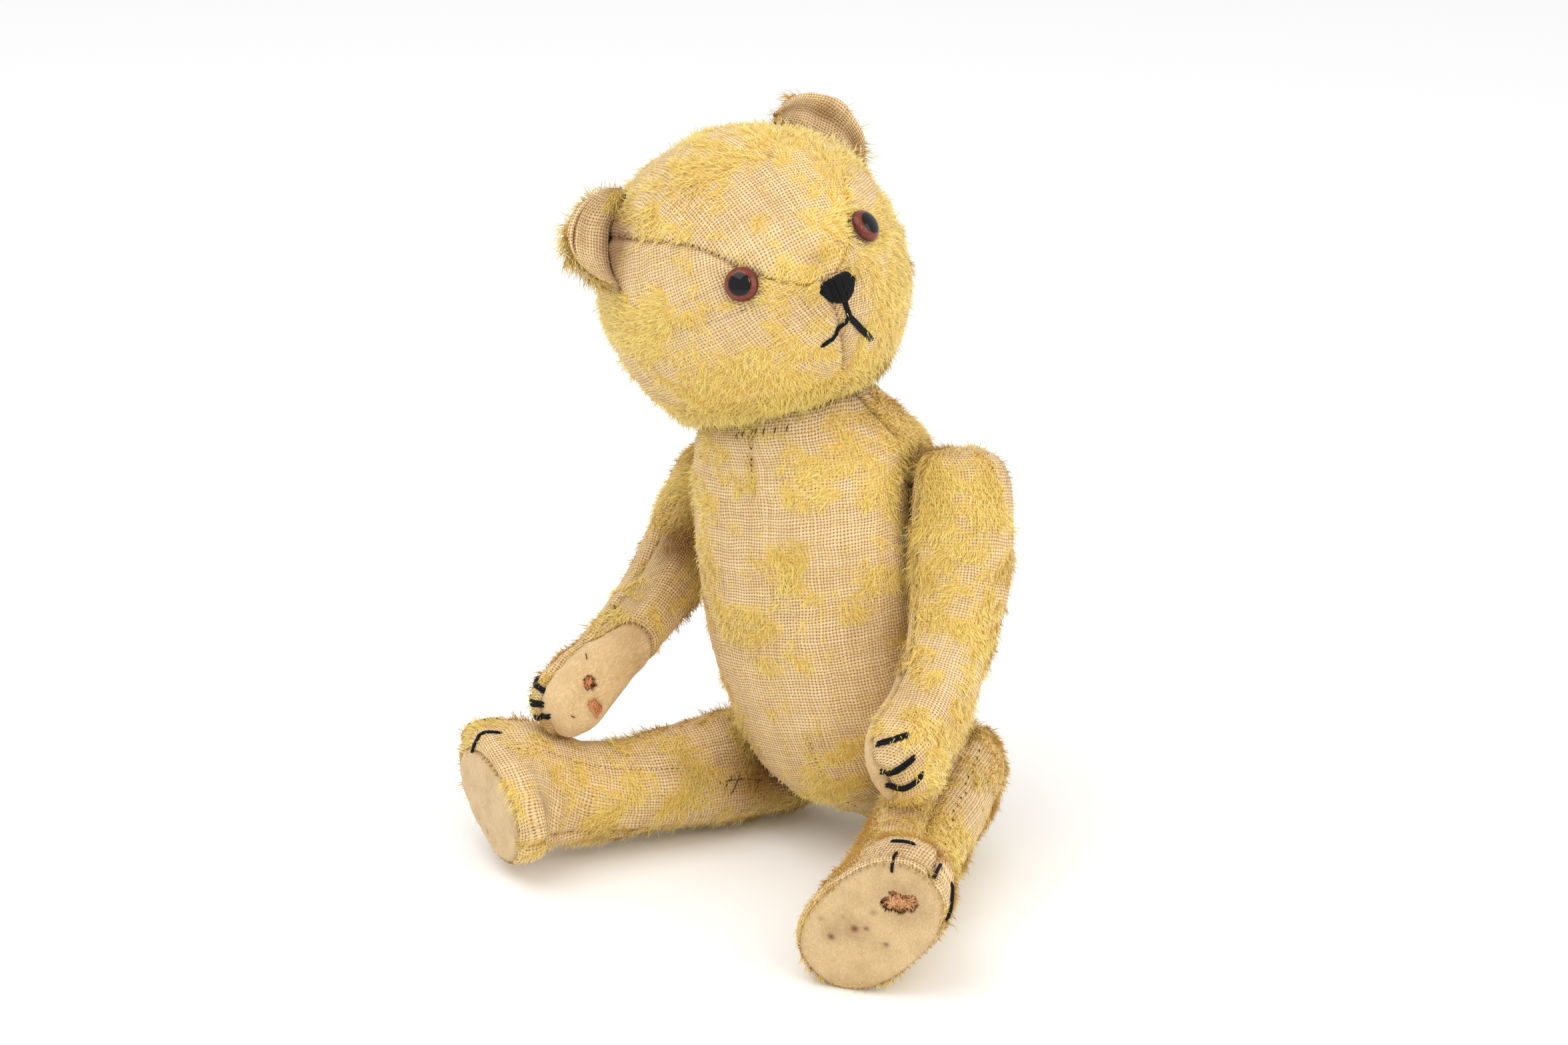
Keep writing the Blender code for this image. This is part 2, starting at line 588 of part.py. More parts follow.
def build_ear(word, way, place, finish):
    """Two layers of cloth, sewn round the rim and cupped forwards, that stand on the gusset seam."""
    side, round_deg, leftwards, cup = LEFT_EAR if word == "left" else RIGHT_EAR
    centre = head_direction(round_deg, way * side)
    out = head_normal(centre)
    facing = Vector((leftwards, -1.0, 0.0))
    facing = (facing - out * facing.dot(out)).normalized()
    across = out.cross(facing)
    for layer, near, far in (("front", 0.15, EAR_THICK), ("back", -EAR_THICK, -0.15)):
        sheets = []
        for offset in (near, far):
            rows = []
            for up in spread(0.0, 1.0, 4):
                row = []
                for a in spread(-1, 1, 9):
                    edge = math.sqrt(max(0.0, 1 - a * a * 0.97))
                    base = centre * 50 + across * a * EAR_HALF_WIDTH + facing * cup * (a * a - 0.5)
                    foot = head_point(base) + head_normal(base) * 0.5
                    rim = math.sin(math.pi * 0.5 * min(1.0, 4 * (1 - up) + 0.25)) * (0.35 + 0.65 * min(1.0, 3 * edge))
                    row.append(foot + out * EAR_HEIGHT * up * edge + facing * offset * rim
                               + facing * cup * 0.5 * up * up)
                rows.append(row)
            sheets.append(rows)
        shell(f"{word}_ear_{layer}", sheets[0], sheets[1], finish["mohair"], place)


def build_nose(place, finish):
    """A pad of close satin stitches, a rounded shield across the end of the muzzle."""
    sheets = []
    for depth in (-1.6, -0.4):
        rows = []
        for f in spread(0.2, 1.0, 3):
            ring = []
            for i in range(14):
                a = 2 * math.pi * i / 14
                wide, tall = superellipse(a, 7.0, 4.4 if math.sin(a) > 0 else 6.2, 2.3)
                rise = -9.0 + tall * f
                side = wide * f * (1.0 if tall > 0 else 1.0 + tall / 14.0)
                ring.append(head_place(head_direction(rise, side), depth * (1.0 if f < 1 else 0.75), NO_PLANE))
            rows.append(ring)
        sheets.append(rows)
    outer, inner = sheets
    filled("nose_stitching", outer + inner[::-1], finish["floss"], place)


NO_PLANE = (Vector((0, 0, -1000)), Vector((0, 0, -1)))


def main():
    clear_scene()
    finish = {
        "mohair": material("mohair_cloth", (0.72, 0.52, 0.24), 0.9),
        "felt": material("wool_felt", (0.68, 0.52, 0.34), 0.95),
        "wood_wool": material("wood_wool", (0.62, 0.42, 0.2), 0.9),
        "board": material("hardboard", (0.25, 0.15, 0.08), 0.7),
        "steel": material("steel", (0.5, 0.5, 0.5), 0.35, 1.0),
        "glass": material("glass", (0.12, 0.03, 0.02), 0.05),
        "floss": material("cotton_floss", (0.01, 0.01, 0.01), 0.6),
    }
    lean = (Matrix.Translation(-Vector(SEAT_AT)) @ Matrix.Rotation(math.radians(-LEAN_SIDE), 4, "Y")
            @ Matrix.Rotation(math.radians(-LEAN_BACK), 4, "X"))
    torso = frame("torso_frame", None, lean)
    up_here = lean.inverted().to_3x3()
    floor = plane_in(lean, (0, 0, 0), (0, 0, -1))
    turn = math.radians(HEAD_TURN)
    along = {
        "neck": (math.sin(turn), -math.cos(turn), 0.0),
        "left_shoulder": up_here @ Vector(LEFT_ARM_ALONG), "right_shoulder": up_here @ Vector(RIGHT_ARM_ALONG),
        "left_hip": up_here @ Vector(LEFT_LEG_ALONG), "right_hip": up_here @ Vector(RIGHT_LEG_ALONG),
    }
    specs = (NECK, LEFT_SHOULDER, RIGHT_SHOULDER, LEFT_HIP, RIGHT_HIP)
    made = {spec[0]: disc_joint(spec, torso, along[spec[0]], finish) for spec in specs}
    build_torso(torso, floor, specs, [made[spec[0]][2] for spec in specs], finish)
    for word, forward in (("left", -1), ("right", 1)):
        for kind in ("shoulder", "hip"):
            place, matrix, tools = made[f"{word}_{kind}"]
            build = build_arm if kind == "shoulder" else build_leg
            build(word, place, matrix, tools, forward, lean, finish)
    place, matrix, tools = made["neck"]
    tilt = (Matrix.Translation(Vector((*HEAD_ASIDE, HEAD_ABOVE_NECK))) @ Matrix.Rotation(math.radians(-HEAD_LOOK_UP), 4, "X")
            @ Matrix.Rotation(math.radians(HEAD_ROLL), 4, "Y"))
    head = frame("head_frame", place, tilt)
    neck_plane = plane_in(tilt, (0, 0, JOINT_HALF_GAP), (0, 0, -1))
    tools["left_eye"] = build_eye("left", 1, head, finish)
    tools["right_eye"] = build_eye("right", -1, head, finish)
    build_head(head, neck_plane, tools, finish)
    build_ear("left", 1, head, finish)
    build_ear("right", -1, head, finish)
    build_nose(head, finish)


main()
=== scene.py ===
"""Looks for an old jointed mohair bear: worn cloth panels, moth-eaten felt, wood wool, glass eyes and floss.

Lengths inside the functions are millimetres in the model's own frame. The bear faces -Y and its left is +X.
"""
import copy
import json
import math

import bmesh
import bpy
import numpy as np
from bpy.props import FloatProperty, FloatVectorProperty, PointerProperty
from mathutils import Matrix, Vector
from mathutils.bvhtree import BVHTree

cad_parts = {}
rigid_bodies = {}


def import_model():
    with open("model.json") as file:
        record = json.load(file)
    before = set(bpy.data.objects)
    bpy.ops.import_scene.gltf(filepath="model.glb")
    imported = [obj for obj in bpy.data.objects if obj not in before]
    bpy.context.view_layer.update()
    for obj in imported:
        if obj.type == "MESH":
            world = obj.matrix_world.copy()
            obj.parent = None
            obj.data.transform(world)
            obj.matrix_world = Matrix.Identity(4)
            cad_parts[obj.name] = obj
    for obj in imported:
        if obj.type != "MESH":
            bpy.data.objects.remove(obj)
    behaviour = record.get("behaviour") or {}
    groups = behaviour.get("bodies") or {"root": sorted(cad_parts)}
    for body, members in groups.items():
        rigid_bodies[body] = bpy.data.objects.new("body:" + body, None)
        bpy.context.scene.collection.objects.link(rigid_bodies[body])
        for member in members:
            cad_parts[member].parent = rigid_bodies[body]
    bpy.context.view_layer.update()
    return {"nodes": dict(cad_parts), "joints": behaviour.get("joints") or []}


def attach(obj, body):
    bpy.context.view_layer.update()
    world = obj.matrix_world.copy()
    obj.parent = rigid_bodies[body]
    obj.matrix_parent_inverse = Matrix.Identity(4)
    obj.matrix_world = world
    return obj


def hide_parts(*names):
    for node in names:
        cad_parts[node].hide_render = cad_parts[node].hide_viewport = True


bl_info = {
    "name": "Threadbare jointed bear",
    "version": (1, 0, 0),
    "blender": (4, 5, 0),
    "location": "3D View > Sidebar > Bear",
    "description": "Worn mohair cloth, felt, stitching, glass eyes and stage for an old jointed bear",
    "category": "Object",
}

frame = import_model()
MM = 0.001


def to_linear(code):
    """An sRGB hex colour as the linear RGBA that shaders read."""
    parts = [int(code[i:i + 2], 16) / 255 for i in (1, 3, 5)]
    return tuple(p / 12.92 if p <= 0.04045 else ((p + 0.055) / 1.055) ** 2.4 for p in parts) + (1.0,)


def colour(name, code, description):
    return FloatVectorProperty(name=name, description=description, subtype="COLOR", size=4, min=0.0, max=1.0,
                               default=to_linear(code))


# ---------------------------------------------------------------- what a user would change

class BearCloth(bpy.types.PropertyGroup):
    warp: FloatProperty(name="Warp spacing", description="Distance between lengthwise threads of the backing cloth",
                        default=0.00108, min=0.0003, max=0.003, unit="LENGTH")
    weft: FloatProperty(name="Weft spacing", description="Distance between crosswise threads of the backing cloth",
                        default=0.00100, min=0.0003, max=0.003, unit="LENGTH")
    backing: colour("Backing", "#DAAF72", "Bare cotton backing where the pile has gone")
    # painted highlight: a paler colour for the thread crowns, laid on by how high they stand in the weave
    crown_highlight: colour("Backing thread crowns", "#F9DAA6", "Rubbed tops of the backing threads")
    # painted shade: the dark colour put where the threads cross and leave a hole between them
    gaps: colour("Thread gaps", "#7E4E18", "What shows between the backing threads")
    # painted shade as well as dirt: this brown darkens real stains and dirt spots, and also paints the shade in seams,
    # creases and hollows, round the joints and at the ears' feet
    dirt_and_shade: colour("Dirt and shade", "#8C6226", "Ground-in dirt in the creases")
    felt: colour("Felt", "#D8B27A", "Wool felt of the paws and soles")
    felt_dirt: colour("Felt dirt", "#B5905C", "Dirt in the hollows of the felt")
    lumps: FloatProperty(name="Lumps", description="How far the stuffing pushes the cloth out of true",
                         default=0.0009, min=0.0, max=0.004, unit="LENGTH")
    seam_depth: FloatProperty(name="Seam depth", description="How deep the seams pull in",
                              default=0.0011, min=0.0, max=0.003, unit="LENGTH")


class BearPile(bpy.types.PropertyGroup):
    length: FloatProperty(name="Pile length", description="Length of the mohair that is left",
                          default=0.0042, min=0.001, max=0.02, unit="LENGTH")
    # coarser than single hairs, so that it shows
    width: FloatProperty(name="Strand width", description="Width of one drawn strand, a small lock of hairs",
                         default=0.00027, min=0.00005, max=0.001, unit="LENGTH")
    root: colour("Pile root", "#EAB83C", "Mohair near the backing")
    tip: colour("Pile tip", "#FFEE88", "Faded ends of the mohair")
    dusty: colour("Dusty pile", "#DDB860", "Locks that hold dust")


class BearEyes(bpy.types.PropertyGroup):
    iris: colour("Iris", "#561B10", "Painted ring behind the glass")
    pupil: FloatProperty(name="Pupil", description="Pupil's share of the eye's radius", default=0.66, min=0.1, max=0.9,
                         subtype="FACTOR")


class BearStage(bpy.types.PropertyGroup):
    floor: colour("Floor", "#FFFFFF", "Pale floor under the bear")
    key_power: FloatProperty(name="Key light", description="Power of the large overhead softbox", default=7.0,
                             min=0.0, max=200.0, unit="POWER")
    daylight: FloatProperty(name="Room light", description="Strength of the even white light from all round",
                            default=0.86, min=0.0, max=5.0)
    azimuth: FloatProperty(name="Camera azimuth", description="Camera's turn round the bear", subtype="ANGLE",
                           default=math.radians(36.0))
    elevation: FloatProperty(name="Camera elevation", description="Camera's height above level", subtype="ANGLE",
                             default=math.radians(20.5))
    distance: FloatProperty(name="Camera distance", description="From the camera to the bear's middle plane",
                            default=1.150, min=0.2, max=5.0, unit="LENGTH")


# ---------------------------------------------------------------- shapes shared with the model

LEAN_SIDE, LEAN_BACK = 10.8, 1.7
SEAT_AT = (4.7, 25.5, 0.0)
JOINT_HALF_GAP = 0.2
# height, half width, half depth, centre towards the back, centre to its left
TORSO_RINGS = [
    (-3.0, 2.4, 1.2, 21.5, 4.4), (-2.0, 2.9, 8.0, 21.5, 4.4), (3.0, 7.5, 11.0, 20.0, 4.2),
    (10.0, 15.0, 17.0, 15.0, 4.0), (20.0, 23.5, 25.5, 8.5, 4.0), (33.0, 31.5, 31.5, 5.5, 4.0),
    (48.0, 35.5, 35.0, 4.5, 3.0), (75.0, 38.5, 37.0, 5.0, 1.5), (102.0, 41.5, 37.0, 6.5, 2.5),
    (117.0, 42.5, 35.5, 7.0, 3.0), (130.0, 40.0, 32.5, 6.5, 2.6), (143.0, 31.5, 28.5, 6.0, -1.2),
    (151.0, 24.0, 23.0, 6.0, -2.0), (153.0, 12.0, 12.0, 6.0, -2.0), (153.5, 8.0, 0.6, 6.0, -2.0),
]
# 2 is an ellipse, and more is squarer
TORSO_SQUARENESS, LIMB_SQUARENESS, HEAD_SQUARENESS = 2.2, 2.35, 2.15
# distance along from the joint, half height, half thickness, rise of the centre
ARM_RINGS = [
    (-16.4, 4.6, 0.6, 0.0), (-15.8, 8.4, 7.0, 0.0), (-13.6, 11.6, 12.0, 0.0), (-9.0, 14.0, 14.8, 0.0),
    (0.0, 15.2, 16.2, 0.0), (16.0, 14.4, 15.4, 0.0), (32.0, 12.6, 13.7, 0.0), (46.0, 11.2, 12.2, 0.0),
    (58.0, 10.8, 11.2, 0.0), (70.0, 11.0, 10.6, 0.0), (80.0, 12.0, 10.8, 0.0), (89.0, 12.6, 10.8, 0.0),
    (96.5, 11.0, 9.0, 0.0), (101.2, 7.6, 6.0, 0.0), (103.0, 4.5, 0.9, 0.0),
]
LEG_RINGS = [
    (-18.8, 8.0, 0.6, 0.0), (-17.8, 12.0, 9.4, 0.0), (-11.5, 16.6, 15.2, 0.0), (0.0, 18.6, 17.2, 0.0),
    (18.0, 18.2, 17.0, 0.0), (38.0, 16.6, 16.4, 0.0), (56.0, 15.4, 15.4, 0.0), (70.0, 16.4, 15.2, 1.5),
    (82.0, 21.0, 15.8, 5.0), (92.0, 26.4, 17.2, 7.4), (98.0, 27.2, 17.6, 7.0), (101.0, 26.4, 17.0, 7.0),
]
# joint, direction along the limb at rest, distance out from the joint, splay, which way is forwards,
# bend, fullness, foot twist, rings
LIMBS = {
    "left_arm": ("left_shoulder_swing", (0.10, -0.31, -0.94), 12.1, 0.0, -1, 47.0, 1.16, 0.0, ARM_RINGS),
    "right_arm": ("right_shoulder_swing", (0.00, -0.76, -0.65), 12.1, 0.0, 1, 16.0, 0.98, 0.0, ARM_RINGS),
    "left_leg": ("left_hip_swing", (0.380, -0.915, -0.116), 12.2, 14.5, -1, 0.0, 1.0, 20.0, LEG_RINGS),
    "right_leg": ("right_hip_swing", (-0.520, -0.852, -0.050), 12.2, 12.5, 1, 0.0, 1.0, 37.0, LEG_RINGS),
}
ARM_BEND_FROM, ARM_BEND_TO = 18.0, 80.0
HEAD_SIZE = (49.0, 48.0, 49.0)
HEAD_ABOVE_NECK, HEAD_ASIDE, HEAD_TURN, HEAD_LOOK_UP, HEAD_ROLL = 39.5, -2.5, 60.5, 5.0, -9.0
MUZZLE_LENGTH, MUZZLE_SPREAD, MUZZLE_DROP = 8.5, 30.0, 15.0
EYE_RADIUS, EYE_SIDE, EYE_ROUND = 5.4, 25.0, 2.5
# each ear: degrees to the side, round from the nose, how far it faces left, depth of its cup
EAR_AT = {"left": (49.0, 82.0, 0.25, 5.0), "right": (53.0, 84.0, 0.45, 8.0)}
EAR_HALF_WIDTH, EAR_HEIGHT = 18.0, 13.5
# how thick each ear is, and how far its rim curls forwards
EAR_THICK, EAR_CURL = {"left": 4.4, "right": 4.6}, {"left": 3.5, "right": 3.0}
# slit in the right ear where its rim has split: across and up, half length and width in millimetres
EAR_SLIT = (0.05, 0.60, 8.0, 0.7)


def unit(vectors):
    return vectors / np.maximum(np.linalg.norm(vectors, axis=-1, keepdims=True), 1e-9)


def hump(away, width, power=2):
    """1 where `away` is nought, falling smoothly to nought past `width`."""
    return np.exp(-(away / width) ** power)


def distance(points, place):
    return np.linalg.norm(points - place, axis=-1)


def chord(points, axis):
    """Distance run along a line of points, or along one axis of a grid of them."""
    steps = np.linalg.norm(np.diff(points, axis=axis), axis=-1)
    return np.concatenate([np.zeros_like(np.take(steps, [0], axis)), np.cumsum(steps, axis)], axis)


def grid_of(down, across):
    return np.meshgrid(down, across, indexing="ij")


def joint_row(joint):
    return next(row for row in frame["joints"] if row["name"] == joint)


def joint_place(joint):
    return np.array(joint_row(joint)["pos_m"]) / MM


def joint_frame(joint, along):
    """Rotation and place of a joint: Z out along its pin, Y back up the limb."""
    row = joint_row(joint)
    z = Vector(row["axis"]).normalized()
    back = -Vector(along)
    y = (back - z * back.dot(z)).normalized()
    return Matrix.Translation(Vector(row["pos_m"]) / MM) @ Matrix((y.cross(z), y, z)).transposed().to_4x4()


def carried(matrix, points):
    m = np.array(matrix)
    return points @ m[:3, :3].T + m[:3, 3]


LEAN = (Matrix.Translation(-Vector(SEAT_AT)) @ Matrix.Rotation(math.radians(-LEAN_SIDE), 4, "Y")
        @ Matrix.Rotation(math.radians(-LEAN_BACK), 4, "X"))
TORSO_MIDDLE = carried(LEAN, np.array((2.0, 6.0, 78.0)))
NECK_ALONG = LEAN.to_3x3() @ Vector((math.sin(math.radians(HEAD_TURN)), -math.cos(math.radians(HEAD_TURN)), 0.0))
NECK = joint_frame("neck_turn", NECK_ALONG)
HEAD = (NECK @ Matrix.Translation((HEAD_ASIDE, 0.0, HEAD_ABOVE_NECK))
        @ Matrix.Rotation(math.radians(-HEAD_LOOK_UP), 4, "X") @ Matrix.Rotation(math.radians(HEAD_ROLL), 4, "Y"))


def joint_plane(joint, way):
    """A point and a direction: cloth on that side of the joint stays behind this plane."""
    axis = joint_row(joint)["axis"]
    z = np.array(axis) / np.linalg.norm(axis)
    return joint_place(joint) - z * way * JOINT_HALF_GAP, z * way


FLOOR = (np.zeros(3), np.array((0.0, 0.0, -1.0)))
# how far cloth rounds off where it meets the floor or another part's plane
PRESS_ROUNDING = 1.6


def pressed(points, planes):
    """Points pushed back behind each plane, rounded where they meet it."""
    for _ in range(2):
        for origin, outwards in planes:
            over = (points - origin) @ outwards
            back = 0.5 * (over + np.sqrt(over * over + PRESS_ROUNDING * PRESS_ROUNDING))
            points = points - outwards * back[..., None]
    return points


def flow_through(rows, count=500):
    """A smooth line through a table's rows that never overshoots them, evenly spaced, with its shares."""
    y = np.array(rows, float)
    x = chord(y, 0)
    h = np.diff(x)[:, None]
    d = np.diff(y, axis=0) / h
    slope = np.zeros_like(y)
    slope[0], slope[-1] = d[0], d[-1]
    before, after, same = h[:-1], h[1:], d[:-1] * d[1:] > 0
    safe = np.where(same, d[:-1], 1.0), np.where(same, d[1:], 1.0)
    mean = 3 * (before + after) / ((2 * after + before) / safe[0] + (after + 2 * before) / safe[1])
    slope[1:-1] = np.where(same, mean, 0.0)
    at = np.linspace(0, x[-1], count)
    i = np.clip(np.searchsorted(x, at, "right") - 1, 0, len(x) - 2)
    s, w = ((at - x[i]) / (x[i + 1] - x[i]))[:, None], (x[i + 1] - x[i])[:, None]
    line = (y[i] * (1 + 2 * s) * (1 - s) ** 2 + slope[i] * w * s * (1 - s) ** 2
            + y[i + 1] * s * s * (3 - 2 * s) + slope[i + 1] * w * s * s * (s - 1))
    return at / x[-1], line


def taken_from(rows, share):
    """Each column of a table at shares of the way through its rows."""
    at, line = flow_through(rows)
    return [np.interp(share, at, column) for column in line.T]


def superellipse(angle, a, b, squareness):
    c, s = np.cos(angle), np.sin(angle)
    return (a * np.sign(c) * np.abs(c) ** (2 / squareness), b * np.sign(s) * np.abs(s) ** (2 / squareness))


def torso_surface(share, angle):
    """Torso points for shares of the way up and angles round from its left side over its back."""
    height, width, depth, back, left = taken_from(TORSO_RINGS, share)
    x, y = superellipse(angle, width, depth, TORSO_SQUARENESS)
    return carried(LEAN, np.stack([x + left, y + back, height], -1))


def limb_surface(name):
    """A function from shares along a limb, and angles round it from its forward edge, to points."""
    joint, along, out, splay, forward, bend, full, twist, rings = LIMBS[name]
    own = (joint_frame(joint, along) @ Matrix.Translation((0, 0, out))
           @ Matrix.Rotation(math.radians(-splay), 4, "X"))
    line = flow_through(rings)[1]
    length = np.linspace(0, rings[-1][0], 200)
    slope = math.radians(bend) * np.clip((length - ARM_BEND_FROM) / (ARM_BEND_TO - ARM_BEND_FROM), 0, 1)
    step = length[1]
    run, lift = (np.concatenate([[0], np.cumsum(part(slope[:-1]) * step)]) for part in (np.cos, np.sin))
    tilt = np.arctan(np.gradient(np.interp(length, line[:, 0], line[:, 3]), step)) + slope

    def surface(share, angle):
        far, high, thick, rise = taken_from(rings, share)
        grow = 1 + (full - 1) * np.clip(far / 40, 0, 1)
        lean = np.interp(far, length, tilt)
        turn = math.radians(twist) * np.clip((far - 40) / 50, 0, 1)
        a, b = superellipse(angle, high * grow, thick * grow, LIMB_SQUARENESS)
        up, across = a * np.cos(turn) - b * np.sin(turn), a * np.sin(turn) + b * np.cos(turn)
        centre = np.where(far > 0, np.interp(far, length, run), far)
        lifted = np.interp(far, length, lift) + rise
        points = np.stack([forward * (lifted + up * np.cos(lean)), -centre + up * np.sin(lean), across], -1)
        return carried(own, points)
    return surface


def head_way(round_deg, side_deg):
    a, b = np.radians(round_deg), np.radians(side_deg)
    return np.stack([np.sin(b) + 0 * a, -np.cos(b) * np.cos(a), np.cos(b) * np.sin(a)], -1)


def head_radius_point(way):
    """The head's surface in its own frame: a slightly squared ball with a blunt muzzle."""
    d = unit(way)
    size = (np.abs(d / np.array(HEAD_SIZE)) ** HEAD_SQUARENESS).sum(-1) ** (-1 / HEAD_SQUARENESS)
    away = np.degrees(np.arccos(np.clip(d @ head_way(-MUZZLE_DROP, 0.0), -1, 1)))
    return d * (size + MUZZLE_LENGTH * hump(away, MUZZLE_SPREAD))[..., None]


def head_normal(way):
    d = unit(way)
    side = unit(np.cross(d, (0.3, 0.2, 1.0)))
    steps = side * 0.02, np.cross(d, side) * 0.02
    n = unit(np.cross(*(head_radius_point(d + step) - head_radius_point(d - step) for step in steps)))
    return n * np.sign((n * d).sum(-1, keepdims=True))


# ---------------------------------------------------------------- unevenness

NOISE = np.random.default_rng(7).random((32, 32, 32))


def patchy(points, size, shift):
    """Smooth random values from 0 to 1 whose blotches are about `size` millimetres across."""
    q = points / np.array(size, float) + shift + 100.0
    i = np.floor(q).astype(int)
    f = q - i
    f = f * f * (3 - 2 * f)
    total = 0.0
    for corner in range(8):
        o = np.array([corner & 1, corner >> 1 & 1, corner >> 2 & 1])
        w = np.where(o, f, 1 - f).prod(-1)
        j = (i + o) % 32
        total = total + w * NOISE[j[..., 0], j[..., 1], j[..., 2]]
    return total


def uneven(points, *layers):
    """Rises and hollows about nought, added up from layers of (height, blotch size, shift)."""
    return sum(height * (patchy(points, size, shift) - 0.5) for height, size, shift in layers)


def marks(points, spots):
    """How strongly each point is touched by (x, y, z, radius, strength) spots."""
    value = np.zeros(points.shape[:-1])
    for *place, radius, strength in spots:
        value = value + strength * hump(distance(points, place), radius)
    return value


# ---------------------------------------------------------------- cloth pieces

class Panel:
    """One cut piece of cloth on a stuffed form: a grid of points with its outward directions and its weave."""

    def __init__(self, name, body, points, normals, seam, weave):
        self.name, self.body, self.points, self.normals = name, body, points, normals
        self.seam, self.weave = seam, weave
        self.pile = self.stain_and_shade = np.zeros(points.shape[:-1])
        self.tuck, self.tucks = 1.5, (True, True, True, True)


PANELS = {}
# how many puckers a seam's wave makes from one blotch to the next
PUCKERS = 3.4


def edge_distance(points, start=True, end=True):
    """Distance from each point of a grid to its sewn edges: its sides, and its first and last rows."""
    across, down = chord(points, 1), chord(points, 0)
    away = np.minimum(across, across[:, -1:] - across)
    if start:
        away = np.minimum(away, down)
    if end:
        away = np.minimum(away, down[-1:] - down)
    return away


def grid_normals(points, middle):
    n = unit(np.cross(np.gradient(points, axis=0), np.gradient(points, axis=1)))
    if ((points - middle) * n).sum() < 0:
        n = -n
    return n


def rumpled(panel, look, planes, extra=0.0):
    """Pushes a panel out of true: lumps of stuffing, pulled-in seams and their puckers."""
    p, n, s = panel.points, panel.normals, panel.seam
    calm = np.ones(p.shape[:-1])
    for origin, outwards in planes:
        calm = calm * np.clip(-((p - origin) @ outwards) / 5, 0, 1)
    lumps = look.lumps / MM * (1.6 * (patchy(p, 24, 3.1) - 0.55) + 0.7 * (patchy(p, 10, 5.7) - 0.5))
    lumps = lumps + uneven(p, (0.28, 4.2, 9.4))
    # a seam's groove, with a low ridge beside it
    groove = look.seam_depth / MM * hump(s, 1.3) - 0.30 * hump(s - 3.2, 1.5)
    pulls = 0.22 * np.cos(2 * math.pi * patchy(p, 9.0, 1.2) * PUCKERS) * hump(s, 3.0)
    push = lumps * calm - groove - pulls * calm + extra
    panel.points = pressed(p + n * push[..., None], planes)
    return panel


def keep_on_points(data, key, values):
    """Stores one number for each point of a mesh, for its finish to read."""
    data.attributes.new(key, "FLOAT", "POINT").data.foreach_set("value", values.astype(np.float32).ravel())


def sheet_mesh(name, points, normals, weave, marks_by_name, tuck=0.0, tucks=(True,) * 4):
    """A cloth sheet from a grid; the edges named in `tucks` turn in under it: first row, last row, first and
    last column."""
    outward = np.cross(points[:-1, 1:] - points[:-1, :-1], points[1:, :-1] - points[:-1, :-1])
    turned = (outward * normals[:-1, :-1]).sum() < 0
    turned_in = [int(bool(tuck) and edge) for edge in tucks]
    pads = [tuple(turned_in[:2]), tuple(turned_in[2:])]
    points, normals, weave = (np.pad(grid, pads + [(0, 0)], "edge") for grid in (points, normals, weave))
    marks_by_name = {k: np.pad(v, pads, "edge") for k, v in marks_by_name.items()}
    for axis in (0, 1):
        for end in (0, 1):
            if pads[axis][end]:
                at = [slice(None)] * 2
                at[axis] = -end
                points[tuple(at)] -= normals[tuple(at)] * tuck
    rows, columns = points.shape[:2]
    index = np.arange(rows * columns).reshape(rows, columns)
    faces = np.stack([index[:-1, :-1], index[:-1, 1:], index[1:, 1:], index[1:, :-1]], -1).reshape(-1, 4)
    if turned:
        faces = faces[:, ::-1]
    data = bpy.data.meshes.new(name)
    data.from_pydata((points.reshape(-1, 3) * MM).tolist(), [], faces.tolist())
    layer = data.uv_layers.new(name="weave")
    layer.data.foreach_set("uv", weave.reshape(-1, 2)[faces.ravel()].astype(np.float32).ravel())
    for key, values in marks_by_name.items():
        keep_on_points(data, key, values)
    bm = bmesh.new()
    bm.from_mesh(data)
    bmesh.ops.remove_doubles(bm, verts=bm.verts, dist=2e-6)
    bmesh.ops.dissolve_degenerate(bm, edges=bm.edges, dist=1e-7)
    bm.to_mesh(data)
    bm.free()
    data.shade_smooth()
    return data


def piece(name, data, finish_key, body, replaces=()):
    """Links a mesh as one piece in its finish, riding on a body and standing for the body's solids."""
    made = bpy.data.objects.new(name, data)
    bpy.context.collection.objects.link(made)
    data.materials.append(finish(finish_key))
    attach(made, body)
    if replaces:
        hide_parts(*replaces)
    return made


def sewn(panel, cloth, replaces, cut=None):
    """Makes a panel's piece, and keeps it for the pile and the threads that lie on it."""
    data = sheet_mesh(panel.name, panel.points, panel.normals, panel.weave,
                      {"pile": panel.pile, "stain_and_shade": panel.stain_and_shade}, panel.tuck, panel.tucks)
    if cut is not None:
        cut(data)
    made = piece(panel.name, data, cloth, panel.body, replaces)
    PANELS[panel.name] = panel


def surface_tree(names):
    """A search tree over finished panels, in millimetres."""
    points, faces = [], []
    for name in names:
        mesh = bpy.data.objects[name].data
        start = len(points)
        points += [v.co / MM for v in mesh.vertices]
        faces += [[start + i for i in f.vertices] for f in mesh.polygons]
    return BVHTree.FromPolygons(points, faces)


def laid_on(tree, path, lift):
    """A path's points dropped on a surface and raised off it, all alike or each by its own amount."""
    result = []
    for point, rise in zip(path, np.broadcast_to(lift, len(path))):
        place, normal, _, _ = tree.find_nearest(Vector(point))
        result.append(np.array(place + normal * rise))
    return np.array(result)


# ---------------------------------------------------------------- threads

# a thread is a tube of six sides, and the direction that they start from is one that no thread runs along
THREAD_SIDES, THREAD_UP = 6, (0.3, 0.2, 0.93)


